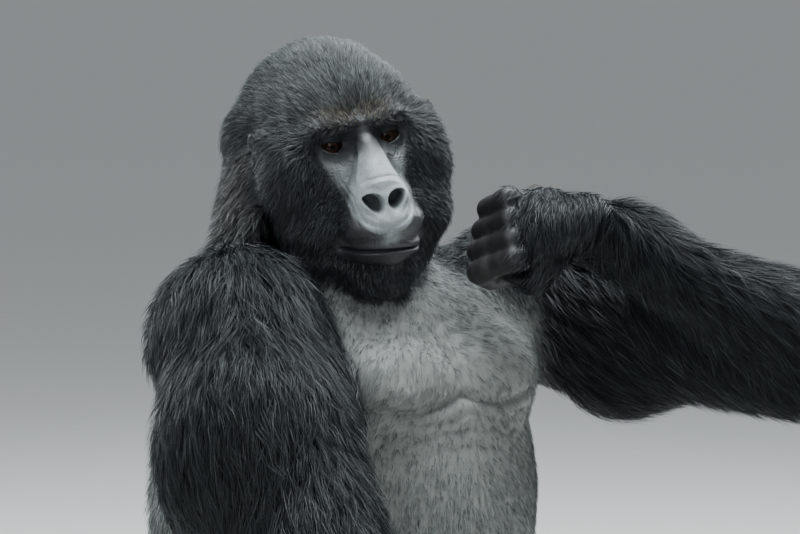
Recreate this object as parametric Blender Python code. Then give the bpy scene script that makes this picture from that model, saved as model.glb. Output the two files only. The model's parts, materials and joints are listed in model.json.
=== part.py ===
"""A seated silverback mountain gorilla at life size, solid out to the tips of its coat.

Metres, +Z up, +X towards the animal's left, -Y towards its front. The origin is the middle of the seat, on the
floor. The head, hands and feet are modelled on their own, finer; the body is modelled whole and then parted.
"""

import math

import bmesh
import bpy
from mathutils import Matrix, Vector

GAP = 0.0006  # clearance between two nodes that meet
FLOOR_SLAB = 0.2  # depth of the block that flattens what rests on the floor

# Voxel size of the fused clay, smoothing passes and triangles kept, for each group of parts.
BODY_CLAY = (0.009, 26, 2210)
HEAD_CLAY = (0.004, 5, 1500)
HAND_CLAY = (0.004, 3, 520)
FOOT_CLAY = (0.0045, 3, 480)
EAR_CLAY = (0.0018, 2, 170)

# Joints of the pose.
HIP = Vector((0.14, 0.03, 0.150))
KNEE = Vector((0.40, -0.20, 0.205))
ANKLE = Vector((0.165, -0.440, 0.085))
SHOULDER_LEFT = Vector((0.255, -0.06, 0.815))
ELBOW_LEFT = Vector((0.405, -0.400, 0.755))
WRIST_LEFT = Vector((0.118, -0.265, 0.922))
SHOULDER_RIGHT = Vector((-0.250, -0.045, 0.808))
ELBOW_RIGHT = Vector((-0.325, -0.272, 0.455))
WRIST_RIGHT = Vector((-0.350, -0.505, 0.143))

# The head's own frame: midway between the eyes, facing its own -Y.
HEAD_AT = Vector((-0.077, -0.082, 1.0215))
HEAD_YAW, HEAD_PITCH, HEAD_ROLL = (math.radians(a) for a in (-33.0, 3.0, -10.0))
EYE_SPREAD = 0.0345
EYE_DEPTH = 0.003
EYE_RADIUS = 0.0150
EYE_FIT = 0.0004


def turn(yaw, pitch, roll):
    """The rotation that rolls about Y, then pitches about X, then yaws about Z."""
    return Matrix.Rotation(yaw, 3, "Z") @ Matrix.Rotation(pitch, 3, "X") @ Matrix.Rotation(roll, 3, "Y")


HEAD_TURN = turn(HEAD_YAW, HEAD_PITCH, HEAD_ROLL)


def frame(origin, rotation):
    """The 4x4 matrix of a local frame."""
    return Matrix.Translation(origin) @ rotation.to_4x4()


def axes(forward, up):
    """A rotation whose -Y is forward and whose Z is as near to up as it can be."""
    back = -forward.normalized()
    side = back.cross(up).normalized()
    return Matrix((side, back, side.cross(back))).transposed()


# Clay: closed shapes that are added to one bmesh and fused later.


def ball(clay, centre, radii, place=Matrix.Identity(4), tilt=(0.0, 0.0, 0.0), detail=3):
    """An ellipsoid; centre, radii and the tilt in degrees about X, Y and Z are in the frame of place."""
    tilted = Matrix.Identity(4)
    for angle, axis in zip(tilt, "XYZ"):
        tilted = Matrix.Rotation(math.radians(angle), 4, axis) @ tilted
    matrix = place @ Matrix.Translation(centre) @ tilted @ Matrix.Diagonal((*radii, 1.0))
    bmesh.ops.create_icosphere(clay, subdivisions=detail, radius=1.0, matrix=matrix)


def pair(clay, centre, radii, place=Matrix.Identity(4), tilt=(0.0, 0.0, 0.0)):
    """The same ellipsoid on the left and, mirrored, on the right."""
    for side in (1, -1):
        mirrored = (tilt[0], side * tilt[1], side * tilt[2])
        ball(clay, (side * centre[0], centre[1], centre[2]), radii, place, mirrored)


def limb(clay, start, end, start_radius, end_radius, width=1.0, segments=20):
    """A round taper with domed ends: a ball pulled apart along its axis. Width stretches it sideways."""
    start, end = Vector(start), Vector(end)
    axis = (end - start).normalized()
    turned = axis.to_track_quat("Z", "Y").to_matrix()
    made = bmesh.ops.create_uvsphere(clay, u_segments=segments, v_segments=segments // 2, radius=1.0)
    for vert in made["verts"]:
        at_end = vert.co.z > -1e-6
        radius = end_radius if at_end else start_radius
        local = Vector((vert.co.x * radius * width, vert.co.y * radius, vert.co.z * radius))
        vert.co = (end if at_end else start) + turned @ local


def mirrored(point):
    """The same point on the other side of the body."""
    return Vector((-point.x, point.y, point.z))


# Objects.


def add_object(name, mesh):
    """Links a new object that shows the mesh."""
    found = bpy.data.objects.new(name, mesh)
    bpy.context.scene.collection.objects.link(found)
    return found


def from_clay(name, clay):
    """Turns a bmesh into an object and frees it."""
    mesh = bpy.data.meshes.new(name)
    clay.to_mesh(mesh)
    clay.free()
    return add_object(name, mesh)


def settle(item):
    """Applies the object's modifiers."""
    bpy.context.view_layer.update()
    graph = bpy.context.evaluated_depsgraph_get()
    mesh = bpy.data.meshes.new_from_object(item.evaluated_get(graph))
    item.modifiers.clear()
    item.data = mesh
    return item


def fuse(item, voxel, passes, triangles):
    """Fuses overlapping clay into one skin, softens its joins and thins it to about that many triangles."""
    remesh = item.modifiers.new("Fuse", "REMESH")
    remesh.mode = "VOXEL"
    remesh.voxel_size = voxel
    smooth = item.modifiers.new("Soften", "SMOOTH")
    smooth.factor = 0.5
    smooth.iterations = passes
    settle(item)
    thin = item.modifiers.new("Thin", "DECIMATE")
    thin.ratio = triangles / (2 * len(item.data.polygons))
    return settle(item)


def combine(item, operation, other):
    """Cuts the object by another, joins them or keeps what they share."""
    boolean = item.modifiers.new(operation.title(), "BOOLEAN")
    boolean.operation = operation
    boolean.object = other
    return settle(item)


def grown(item, distance=GAP):
    """A copy of the object that is larger by a small distance all round."""
    copy = add_object(item.name + "_grown", item.data.copy())
    swell = copy.modifiers.new("Swell", "DISPLACE")
    swell.strength = distance
    swell.mid_level = 0.0
    return settle(copy)


def discard(*items):
    """Removes helpers that have done their work."""
    for item in items:
        bpy.data.objects.remove(item)


def cut_clear(item, other):
    """Cuts the object back from another, with the clearance between them."""
    tool = grown(other)
    combine(item, "DIFFERENCE", tool)
    discard(tool)


def block(point, normal, reach, height, length):
    """A block with its first face through the point, which runs along the normal."""
    clay = bmesh.new()
    turned = Vector(normal).normalized().to_track_quat("Z", "Y").to_matrix().to_4x4()
    shape = Matrix.Translation((0, 0, length / 2)) @ Matrix.Diagonal((2 * reach, 2 * height, length, 1.0))
    bmesh.ops.create_cube(clay, size=1.0, matrix=Matrix.Translation(point) @ turned @ shape)
    return from_clay("block_cutter", clay)


def trim(item, point, normal, reach, length):
    """Cuts off what lies beyond a plane, half the clearance short of it."""
    normal = Vector(normal).normalized()
    tool = block(Vector(point) - normal * GAP / 2, normal, reach, reach, length)
    combine(item, "DIFFERENCE", tool)
    discard(tool)
    largest_body(item)


def meet(first, second, point, normal, reach, length):
    """Makes two objects meet at a plane: the first ends there and the second starts there."""
    trim(first, point, normal, reach, length)
    trim(second, point, -Vector(normal), reach, length)


def flatten_on_floor(item):
    """Cuts off all that lies below the floor."""
    clay = bmesh.new()
    slab = Matrix.Translation((0, 0, -FLOOR_SLAB / 2)) @ Matrix.Diagonal((4.0, 4.0, FLOOR_SLAB, 1.0))
    bmesh.ops.create_cube(clay, size=1.0, matrix=slab)
    tool = from_clay("floor_cutter", clay)
    combine(item, "DIFFERENCE", tool)
    discard(tool)


def largest_body(item):
    """Keeps the biggest of the object's loose bodies."""
    clay = bmesh.new()
    clay.from_mesh(item.data)
    unseen = set(clay.verts)
    bodies = []
    while unseen:
        todo = [unseen.pop()]
        body = set(todo)
        while todo:
            for edge in todo.pop().link_edges:
                for vert in edge.verts:
                    if vert in unseen:
                        unseen.remove(vert)
                        body.add(vert)
                        todo.append(vert)
        bodies.append(body)
    bodies.sort(key=len)
    stray = [vert for body in bodies[:-1] for vert in body]
    bmesh.ops.delete(clay, geom=stray, context="VERTS")
    clay.to_mesh(item.data)
    clay.free()


# The head.


def head_place():
    """The head's own frame in the world."""
    return frame(HEAD_AT, HEAD_TURN)


def add_nape(clay, place):
    """The heap of muscle that joins the back of the skull to the shoulders."""
    ball(clay, (0, 0.216, -0.045), (0.128, 0.098, 0.112), place)


def add_cranium(clay, place):
    """The braincase with its chewing muscles, the tall crest, the back of the skull and the throat."""
    ball(clay, (0, 0.105, 0.022), (0.105, 0.115, 0.080), place)
    ball(clay, (0, 0.130, 0.056), (0.080, 0.100, 0.058), place)
    ball(clay, (0, 0.150, 0.064), (0.052, 0.082, 0.052), place, tilt=(-6, 0, 0))
    ball(clay, (0, 0.168, 0.016), (0.110, 0.086, 0.100), place)
    pair(clay, (0.076, 0.060, -0.002), (0.031, 0.058, 0.054), place)
    ball(clay, (0, 0.112, -0.062), (0.113, 0.104, 0.092), place)
    pair(clay, (0.078, 0.172, -0.012), (0.056, 0.070, 0.070), place)
    add_nape(clay, place)


def add_brow(clay, place):
    """The bar of bone over the eyes, which bends down at its ends."""
    ball(clay, (0, -0.010, 0.026), (0.026, 0.020, 0.014), place)
    pair(clay, (0.034, -0.007, 0.027), (0.038, 0.023, 0.013), place, tilt=(0, -4, 0))
    pair(clay, (0.064, 0.005, 0.016), (0.015, 0.019, 0.018), place)
    ball(clay, (0, 0.018, 0.042), (0.060, 0.028, 0.022), place)


def add_face(clay, place):
    """The eye region, cheeks, long nose, muzzle, lips and chin."""
    ball(clay, (0, 0.040, -0.045), (0.082, 0.074, 0.085), place)
    pair(clay, (0.080, 0.044, -0.036), (0.047, 0.062, 0.072), place)
    pair(clay, (0.063, 0.036, -0.096), (0.053, 0.062, 0.058), place)
    limb(clay, place @ Vector((0, -0.014, 0.010)), place @ Vector((0, -0.050, -0.047)), 0.0105, 0.019)
    pair(clay, (0.0115, -0.027, -0.030), (0.0150, 0.0150, 0.0240), place)
    ball(clay, (0, -0.051, -0.062), (0.035, 0.022, 0.028), place, tilt=(-8, 0, 0))
    ball(clay, (0, -0.025, -0.074), (0.049, 0.046, 0.044), place)
    ball(clay, (0, -0.040, -0.095), (0.053, 0.043, 0.025), place)
    ball(clay, (0, -0.036, -0.131), (0.047, 0.040, 0.022), place)
    ball(clay, (-0.003, -0.014, -0.157), (0.053, 0.045, 0.036), place)
    ball(clay, (0, 0.036, -0.136), (0.090, 0.074, 0.058), place)


def head_cutters(place):
    """The nostrils and the hollows round the eyes."""
    clay = bmesh.new()
    for side in (1, -1):
        ball(clay, (side * 0.0150, -0.071, -0.0640), (0.0105, 0.016, 0.0085), place, (30, side * 28, 0), 2)
    nostrils = from_clay("nostril_cutter", clay)
    clay = bmesh.new()
    for side in (1, -1):
        ball(clay, (side * 0.035, -0.021, 0.001), (0.0215, 0.0165, 0.0120), place, (0, side * 6, 0), 2)
    hollows = from_clay("eye_hollow_cutter", clay)
    return nostrils, hollows


def make_eye(name, side, place):
    """One eyeball, and the round bed that it lies in."""
    at = Vector((side * EYE_SPREAD, EYE_DEPTH, 0))
    found = []
    for label, radius in ((name, EYE_RADIUS), (name + "_bed", EYE_RADIUS + EYE_FIT)):
        clay = bmesh.new()
        bmesh.ops.create_icosphere(clay, subdivisions=2, radius=radius, matrix=place @ Matrix.Translation(at))
        found.append(from_clay(label, clay))
    return found


def make_ear(name, side, place):
    """A small ear: a rolled rim round a hollow, set flat on the side of the head."""
    at = place @ frame(Vector((side * 0.113, 0.072, 0.002)), turn(side * math.radians(-16), 0, side * math.radians(6)))
    clay = bmesh.new()
    ball(clay, (0, 0, 0), (0.011, 0.019, 0.028), at)
    ball(clay, (0, 0.002, -0.022), (0.009, 0.010, 0.012), at)
    shell = from_clay(name, clay)
    fuse(shell, *EAR_CLAY)
    clay = bmesh.new()
    ball(clay, (side * 0.010, -0.003, 0.003), (0.007, 0.011, 0.018), at, (8, 0, 0), 2)
    bowl = from_clay("ear_bowl_cutter", clay)
    combine(shell, "DIFFERENCE", bowl)
    discard(bowl)
    return shell


def make_head():
    """The head with its eyes and ears."""
    place = head_place()
    clay = bmesh.new()
    add_cranium(clay, place)
    add_brow(clay, place)
    add_face(clay, place)
    head = from_clay("head", clay)
    fuse(head, *HEAD_CLAY)
    for tool in head_cutters(place):
        combine(head, "DIFFERENCE", tool)
        discard(tool)
    parts = {"head": head}
    for label, side in (("left", 1), ("right", -1)):
        eye, bed = make_eye("eye_" + label, side, place)
        combine(head, "DIFFERENCE", bed)
        discard(bed)
        ear = make_ear("ear_" + label, side, place)
        cut_clear(ear, head)
        largest_body(ear)
        parts[eye.name] = eye
        parts[ear.name] = ear
    return parts


# Hands and feet.

PALM = (0.102, 0.092, 0.046)  # width across the knuckles, length and thickness
FINGERS = ("index", "middle", "ring", "little")
FINGER_LENGTHS = {"index": 0.94, "middle": 1.0, "ring": 0.96, "little": 0.82}
PHALANGES = (0.060, 0.042, 0.028)
FINGER_RADII = (0.0175, 0.0165, 0.0150, 0.0125)


def add_finger(clay, place, root, bends, scale, spread):
    """One finger: three phalanges, each bent further towards the palm (local -Z) by its angle."""
    at = Vector(root)
    pitch = 0.0
    for index, length in enumerate(PHALANGES):
        pitch += math.radians(bends[index])
        step = Vector((math.sin(spread) * math.cos(pitch), -math.cos(spread) * math.cos(pitch), -math.sin(pitch)))
        end = at + step * length * scale
        limb(clay, place @ at, place @ end, FINGER_RADII[index], FINGER_RADII[index + 1])
        at = end


def make_hand(name, wrist, rotation, side, bends, thumb_bends):
    """A hand from its wrist along local -Y, with its back up local Z. Side is 1 for a thumb on local +X."""
    place = frame(wrist, rotation)
    width, length, thick = PALM
    clay = bmesh.new()
    ball(clay, (0, -length * 0.52, 0), (width * 0.50, length * 0.56, thick * 0.56), place)
    limb(clay, place @ Vector((0, 0.035, 0)), place @ Vector((0, -length * 0.4, 0)), 0.036, 0.034, 1.15)
    for index, finger in enumerate(FINGERS):
        across = side * width * (0.36 - 0.24 * index)
        fan = side * math.radians(5 - 4 * index)
        root = (across, -length * 0.92, 0.004)
        add_finger(clay, place, root, bends[index], FINGER_LENGTHS[finger], fan)
    thumb = place @ Vector((side * width * 0.42, -length * 0.30, -0.010))
    knuckle = thumb + rotation @ Vector((side * 0.022, -0.036, -0.012))
    tip = knuckle + rotation @ Vector(thumb_bends)
    limb(clay, thumb, knuckle, 0.019, 0.0145)
    limb(clay, knuckle, tip, 0.0145, 0.0110)
    hand = from_clay(name, clay)
    return fuse(hand, *HAND_CLAY)


def left_hand():
    """The raised left hand, half closed, its back turned outward and its thumb side up."""
    along = Vector((-0.62, 0.76, -0.10))
    back = Vector((-0.70, -0.58, 0.36))
    bends = ((38, 72, 40), (46, 76, 42), (54, 78, 42), (60, 80, 42))
    return make_hand("hand_left", WRIST_LEFT, axes(along, back), 1, bends, (-0.020, -0.030, -0.016))


def right_hand():
    """The right hand, resting on its knuckles beside the foot."""
    along = Vector((-0.02, -0.52, -0.80))
    back = Vector((-0.10, -0.80, 0.52))
    bends = ((28, 92, 50), (26, 94, 50), (28, 94, 50), (34, 92, 50))
    return make_hand("hand_right", WRIST_RIGHT, axes(along, back), -1, bends, (0.010, -0.030, -0.014))


FOOT_LENGTH = 0.285
TOES = ((0.036, 0.066, 0.0175), (0.012, 0.068, 0.0170), (-0.012, 0.062, 0.0160), (-0.035, 0.054, 0.0150))


def make_foot(name, side):
    """A flat foot with a deep heel, four toes and a strong first toe that stands off to the inner side."""
    heading = Matrix.Rotation(side * math.radians(14), 3, "Z")
    heel = Vector((side * ANKLE.x, ANKLE.y + 0.035, 0))
    place = frame(heel, heading)
    ball_of_foot = -FOOT_LENGTH * 0.60
    clay = bmesh.new()
    ball(clay, (0, -0.010, 0.032), (0.038, 0.048, 0.040), place)
    limb(clay, place @ Vector((0, -0.02, 0.036)), place @ Vector((0, ball_of_foot * 0.9, 0.028)), 0.038, 0.032, 1.25)
    ball(clay, (0, ball_of_foot, 0.024), (0.056, 0.050, 0.030), place)
    limb(clay, place @ Vector((0, -0.035, 0.050)), place @ Vector((0, -0.015, 0.100)), 0.045, 0.046)
    for across, length, radius in TOES:
        start = Vector((-side * across, ball_of_foot - 0.030, 0.020))
        middle = start + Vector((-side * across * 0.12, -length * 0.55, 0.004))
        end = middle + Vector((-side * across * 0.10, -length * 0.50, -0.007))
        limb(clay, place @ start, place @ middle, radius, radius * 0.94)
        limb(clay, place @ middle, place @ end, radius * 0.94, radius * 0.80)
    start = Vector((-side * 0.034, ball_of_foot * 0.62, 0.024))
    middle = start + Vector((-side * 0.036, -0.050, 0.0))
    end = middle + Vector((-side * 0.016, -0.048, -0.004))
    limb(clay, place @ start, place @ middle, 0.026, 0.021)
    limb(clay, place @ middle, place @ end, 0.021, 0.018)
    foot = from_clay(name, clay)
    return fuse(foot, *FOOT_CLAY)


# The body, whole.


def add_trunk(clay):
    """The seat, the full belly, the rib cage, the shoulder hump and the chest muscles."""
    ball(clay, (0, 0.045, 0.155), (0.260, 0.205, 0.168))
    ball(clay, (0, -0.040, 0.340), (0.275, 0.245, 0.250))
    ball(clay, (0, 0.010, 0.575), (0.292, 0.212, 0.270))
    ball(clay, (0, 0.015, 0.735), (0.258, 0.175, 0.165))
    limb(clay, (0, 0.030, 0.260), (0, 0.025, 0.700), 0.218, 0.185, 1.24)
    limb(clay, (0, -0.070, 0.380), (0, -0.030, 0.600), 0.200, 0.185, 1.10)
    ball(clay, (0, 0.060, 0.800), (0.265, 0.128, 0.120))
    pair(clay, (0.130, 0.068, 0.785), (0.140, 0.114, 0.118), tilt=(0, 16, 0))
    ball(clay, (0, -0.085, 0.700), (0.170, 0.118, 0.110), tilt=(16, 0, 0))
    pair(clay, (0.100, -0.115, 0.725), (0.105, 0.080, 0.075), tilt=(14, 6, 10))


def add_neck(clay):
    """The thick neck, which runs from the shoulder hump to the back of the skull."""
    place = head_place()
    ball(clay, (-0.005, 0.052, 0.925), (0.150, 0.122, 0.150))
    limb(clay, Vector((0, 0.040, 0.840)), place @ Vector((0, 0.125, -0.025)), 0.145, 0.112)
    add_nape(clay, place)
    limb(clay, Vector((0.020, 0.085, 0.800)), place @ Vector((0, 0.228, -0.060)), 0.150, 0.100)


def add_arm(clay, shoulder, elbow, wrist):
    """The round shoulder, the upper arm and the long-haired forearm."""
    ball(clay, shoulder, (0.116, 0.120, 0.108))
    limb(clay, shoulder, elbow, 0.116, 0.104)
    middle = shoulder.lerp(elbow, 0.36) + Vector((0.10 * shoulder.x, 0.018, 0))
    ball(clay, middle, (0.124, 0.132, 0.155))
    limb(clay, elbow, wrist, 0.090, 0.050)
    ball(clay, elbow.lerp(wrist, 0.30), (0.080, 0.080, 0.080))


def add_leg(clay, side):
    """The thigh, laid out to the side, and the shin, which comes back in to the foot."""
    hip, knee, ankle = (point if side > 0 else mirrored(point) for point in (HIP, KNEE, ANKLE))
    limb(clay, hip, knee, 0.135, 0.098)
    limb(clay, knee, ankle, 0.090, 0.060)
    ball(clay, knee.lerp(ankle, 0.32), (0.082, 0.082, 0.078))


def make_body():
    """The body in one piece, without head, hands and feet."""
    clay = bmesh.new()
    add_trunk(clay)
    add_neck(clay)
    add_arm(clay, SHOULDER_LEFT, ELBOW_LEFT, WRIST_LEFT)
    add_arm(clay, SHOULDER_RIGHT, ELBOW_RIGHT, WRIST_RIGHT)
    for side in (1, -1):
        add_leg(clay, side)
    body = from_clay("trunk", clay)
    return fuse(body, *BODY_CLAY)


# Parting the body.


def take(body, name, room):
    """Parts the node that lies in the room from the body."""
    part = add_object(name, body.data.copy())
    cut_clear(body, room)
    combine(part, "INTERSECT", room)
    discard(room)
    largest_body(part)
    largest_body(body)
    return part


def capsule_room(start, end, start_radius, end_radius):
    """The room that one limb takes, a little larger than its flesh."""
    clay = bmesh.new()
    limb(clay, start, end, start_radius, end_radius, segments=10)
    return from_clay("capsule_room", clay)


def limb_rooms():
    """(node, room) in the order that they are parted from the body, outermost first."""
    arms = (
        ("left", SHOULDER_LEFT, ELBOW_LEFT, WRIST_LEFT),
        ("right", SHOULDER_RIGHT, ELBOW_RIGHT, WRIST_RIGHT),
    )
    for label, shoulder, elbow, wrist in arms:
        along = (wrist - elbow).normalized() - (shoulder - elbow).normalized()
        forearm = wrist - elbow
        room = block(elbow - 0.25 * forearm, forearm, 0.112, 0.112, 0.62)
        beyond = block(elbow, along, 0.40, 0.40, 0.80)
        combine(room, "INTERSECT", beyond)
        discard(beyond)
        yield "forearm_" + label, room
    yield "upper_arm_left", block((0.255, -0.110, 0.790), (0.52, -0.85, 0), 0.200, 0.200, 0.50)
    above = SHOULDER_RIGHT + Vector((-0.055, 0, 0.020))
    below = ELBOW_RIGHT + Vector((-0.012, 0, 0.020))
    yield "upper_arm_right", capsule_room(above, below, 0.200, 0.128)
    for label, side in (("left", 1), ("right", -1)):
        knee = KNEE if side > 0 else mirrored(KNEE)
        ankle = ANKLE if side > 0 else mirrored(ANKLE)
        yield "shin_" + label, block(knee.lerp(ankle, 0.10), ankle - knee, 0.125, 0.125, 0.45)
    for label, side in (("left", 1), ("right", -1)):
        hip = HIP if side > 0 else mirrored(HIP)
        knee = KNEE if side > 0 else mirrored(KNEE)
        yield "thigh_" + label, block(hip.lerp(knee, 0.42), knee - hip, 0.140, 0.140, 0.42)
    yield "neck", block((0, 0.03, 0.935), (0, 0.15, 1.0), 0.200, 0.200, 0.300)


# Finish of each node.

BLACK_COAT = ("coat_black", (0.014, 0.016, 0.019), 0.55)
SILVER_COAT = ("coat_silver", (0.060, 0.062, 0.060), 0.60)
DARK_SKIN = ("skin_dark", (0.045, 0.042, 0.040), 0.48)
EYE = ("eye", (0.045, 0.016, 0.008), 0.06)


def finish_of(name):
    """The finish of a node by its name."""
    if name.startswith("eye"):
        return EYE
    if name.startswith(("hand", "foot", "ear")):
        return DARK_SKIN
    if name.startswith(("trunk", "thigh")):
        return SILVER_COAT
    return BLACK_COAT


def dress(item):
    """Gives the node its own material and smooth shading."""
    _, colour, roughness = finish_of(item.name)
    material = bpy.data.materials.new(item.name)
    material.use_nodes = True
    shader = material.node_tree.nodes["Principled BSDF"]
    shader.inputs["Base Color"].default_value = (*colour, 1.0)
    shader.inputs["Roughness"].default_value = roughness
    shader.inputs["Metallic"].default_value = 0.0
    item.data.materials.clear()
    item.data.materials.append(material)
    item.data.shade_smooth()


def join_ends(body, parts):
    """Makes the body meet the head, the hands and the feet."""
    place = head_place()
    under_jaw = place @ Vector((0, 0.115, -0.092))
    towards_head = HEAD_TURN @ Vector((0, -0.185, 0.190))
    trim(body, under_jaw, towards_head, 0.114, 0.400)
    trim(parts["head"], under_jaw, -towards_head, 0.250, 0.400)
    for name in ("head", "ear_left", "ear_right"):
        cut_clear(body, parts[name])
    meet(body, parts["hand_left"], WRIST_LEFT, WRIST_LEFT - ELBOW_LEFT, 0.110, 0.240)
    meet(body, parts["hand_right"], WRIST_RIGHT, WRIST_RIGHT - ELBOW_RIGHT, 0.110, 0.240)
    for label, side in (("left", 1), ("right", -1)):
        knee = KNEE if side > 0 else mirrored(KNEE)
        ankle = ANKLE if side > 0 else mirrored(ANKLE)
        downward = (ankle - knee).normalized() + Vector((0, 0, -1))
        meet(body, parts["foot_" + label], ankle, downward, 0.110, 0.360)


def main():
    """Builds every node of the gorilla."""
    for item in list(bpy.data.objects):
        bpy.data.objects.remove(item)
    parts = make_head()
    for item in (left_hand(), right_hand(), make_foot("foot_left", 1), make_foot("foot_right", -1)):
        parts[item.name] = item
    body = make_body()
    join_ends(body, parts)
    for name, room in limb_rooms():
        parts[name] = take(body, name, room)
    parts[body.name] = body
    for item in parts.values():
        if min(vert.co.z for vert in item.data.vertices) < 0:
            flatten_on_floor(item)
        dress(item)


main()
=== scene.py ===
"""A seated silverback mountain gorilla: one skin, its coat, the eyes and the nails, over the fixed frame.

Metres, +Z up, +X towards the animal's left, -Y towards its front.
"""

import json
import logging
import math
from collections.abc import Callable
from dataclasses import dataclass
from enum import Enum

import bmesh
import bpy
import numpy as np
from mathutils import Matrix, Vector
from mathutils.bvhtree import BVHTree

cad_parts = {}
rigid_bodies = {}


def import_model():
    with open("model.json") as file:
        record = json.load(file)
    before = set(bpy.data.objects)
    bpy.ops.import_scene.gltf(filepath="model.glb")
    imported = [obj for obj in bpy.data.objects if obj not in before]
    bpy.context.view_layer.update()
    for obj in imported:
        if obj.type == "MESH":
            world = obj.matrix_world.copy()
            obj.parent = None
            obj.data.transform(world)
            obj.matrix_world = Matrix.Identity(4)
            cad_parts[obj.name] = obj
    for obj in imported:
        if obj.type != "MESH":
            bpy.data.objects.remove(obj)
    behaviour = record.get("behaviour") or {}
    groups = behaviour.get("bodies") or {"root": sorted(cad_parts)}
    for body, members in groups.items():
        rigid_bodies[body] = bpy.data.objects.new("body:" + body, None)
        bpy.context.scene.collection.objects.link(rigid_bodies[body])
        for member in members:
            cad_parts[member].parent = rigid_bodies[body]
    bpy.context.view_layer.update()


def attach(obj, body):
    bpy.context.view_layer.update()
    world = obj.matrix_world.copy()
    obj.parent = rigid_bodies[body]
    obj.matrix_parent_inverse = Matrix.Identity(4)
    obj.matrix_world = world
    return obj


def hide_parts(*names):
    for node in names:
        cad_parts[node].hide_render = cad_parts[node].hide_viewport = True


log = logging.getLogger("gorilla")

Array = np.ndarray
Pair = tuple[float, float]
Triple = tuple[float, float, float]
Colour = Triple
Clay = bmesh.types.BMesh
Item = bpy.types.Object
Mesh = bpy.types.Mesh
Material = bpy.types.Material
Node = bpy.types.Node
NodeTree = bpy.types.NodeTree
Socket = bpy.types.NodeSocket
UP = np.array((0.0, 0.0, 1.0))
SIDES = (("left", 1.0), ("right", -1.0))


# ---- small tools


def ramp(low: float, high: float, value: Array) -> Array:
    """A soft step from 0 at low to 1 at high."""
    t = np.clip((value - low) / (high - low), 0.0, 1.0)
    return t * t * (3.0 - 2.0 * t)


def bell(value: Array, width: float) -> Array:
    """A bell of height 1 around 0."""
    return np.exp(-((value / width) ** 2))


def unit(vectors: Array) -> Array:
    """Vectors of length 1 in the same directions."""
    return vectors / np.maximum(np.linalg.norm(vectors, axis=-1, keepdims=True), 1e-9)


def lengths(vectors: Array) -> Array:
    """The length of each row's vector."""
    return np.linalg.norm(vectors, axis=1)


def columns(*values: Array | float) -> Array:
    """Numbers, some of them the same in every row, as the columns of an array."""
    return np.stack(np.broadcast_arrays(*values), axis=1)


def mix(first: Array, second: Array, share: Array) -> Array:
    """A blend of two sets of vectors, with the share of the second given for each row."""
    return first + (second - first) * np.asarray(share)[..., None]


def read_field(items: object, field: str, width: int, kind: type = np.float32) -> Array:
    """One field of all items of a mesh, such as its vertices or its edges.

    Args:
        items: the mesh's vertices, edges, triangles or places on a map.
        field: which of their values.
        width: how many numbers each item has.
        kind: the kind of number.

    Returns:
        An array with one row for each item.
    """
    flat = np.empty(len(items) * width, dtype=kind)
    items.foreach_get(field, flat)
    return flat.reshape(-1, width)


def read_points(mesh: Mesh, field: str = "co") -> Array:
    """The mesh's vertex positions or normals, as an (n, 3) array."""
    return read_field(mesh.vertices, field, 3).astype(np.float64)


def write_points(mesh: Mesh, points: Array) -> None:
    """Moves the mesh's vertices."""
    mesh.vertices.foreach_set("co", points.astype(np.float32).ravel())
    mesh.update()


def add_mask(mesh: Mesh, name: str, values: Array) -> None:
    """Stores one number for each vertex under a name that materials can read."""
    layer = mesh.attributes.new(name, "FLOAT", "POINT")
    layer.data.foreach_set("value", values.astype(np.float32))


def add_object(name: str, data: bpy.types.ID) -> Item:
    """Links a new object into the scene.

    Args:
        name: its name.
        data: its mesh, light or camera.

    Returns:
        The object.
    """
    made = bpy.data.objects.new(name, data)
    bpy.context.scene.collection.objects.link(made)
    return made


def to_mesh(clay: Clay, name: str) -> Mesh:
    """Turns clay into a new mesh.

    Args:
        clay: the clay, which is freed.
        name: the mesh's name.

    Returns:
        The mesh.
    """
    made = bpy.data.meshes.new(name)
    clay.to_mesh(made)
    clay.free()
    return made


def shade_smooth(mesh: Mesh) -> None:
    """Shades all the faces smoothly."""
    mesh.polygons.foreach_set("use_smooth", np.ones(len(mesh.polygons), dtype=bool))


def settle(item: Item) -> None:
    """Applies the object's modifiers to its mesh.

    Args:
        item: the object.
    """
    bpy.context.view_layer.update()
    graph = bpy.context.evaluated_depsgraph_get()
    old = item.data
    item.data = bpy.data.meshes.new_from_object(item.evaluated_get(graph))
    item.modifiers.clear()
    bpy.data.meshes.remove(old)


class Neighbours:
    """Which vertices of a mesh share an edge, for softening values over it."""

    def __init__(self, mesh: Mesh) -> None:
        """Reads the mesh's edges.

        Args:
            mesh: the mesh.
        """
        self.a, self.b = read_field(mesh.edges, "vertices", 2, np.int32).T
        self.count = len(mesh.vertices)
        both = np.bincount(self.a, minlength=self.count) + np.bincount(self.b, minlength=self.count)
        self.degree = np.maximum(both, 1).astype(np.float64)

    def mean(self, values: Array) -> Array:
        """The mean of each vertex's neighbours, for one column of values."""
        pairs = (self.a, self.b), (self.b, self.a)
        return sum(np.bincount(to, values[of], self.count) for to, of in pairs) / self.degree

    def soften(self, values: Array, passes: int, rate: Array | float = 0.6) -> Array:
        """Softens values of one or more columns over the mesh.

        Args:
            values: (n,) or (n, k) numbers.
            passes: how many times each value moves towards its neighbours.
            rate: how far it moves each time, from 0 to 1, for all or for each vertex.

        Returns:
            The softened values, in the same shape.
        """
        columns = np.array(values, dtype=np.float64).reshape(self.count, -1).T.copy()
        for _ in range(passes):
            for column in columns:
                column += rate * (self.mean(column) - column)
        return columns.T.reshape(np.shape(values))


# ---- the body's plan


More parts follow.
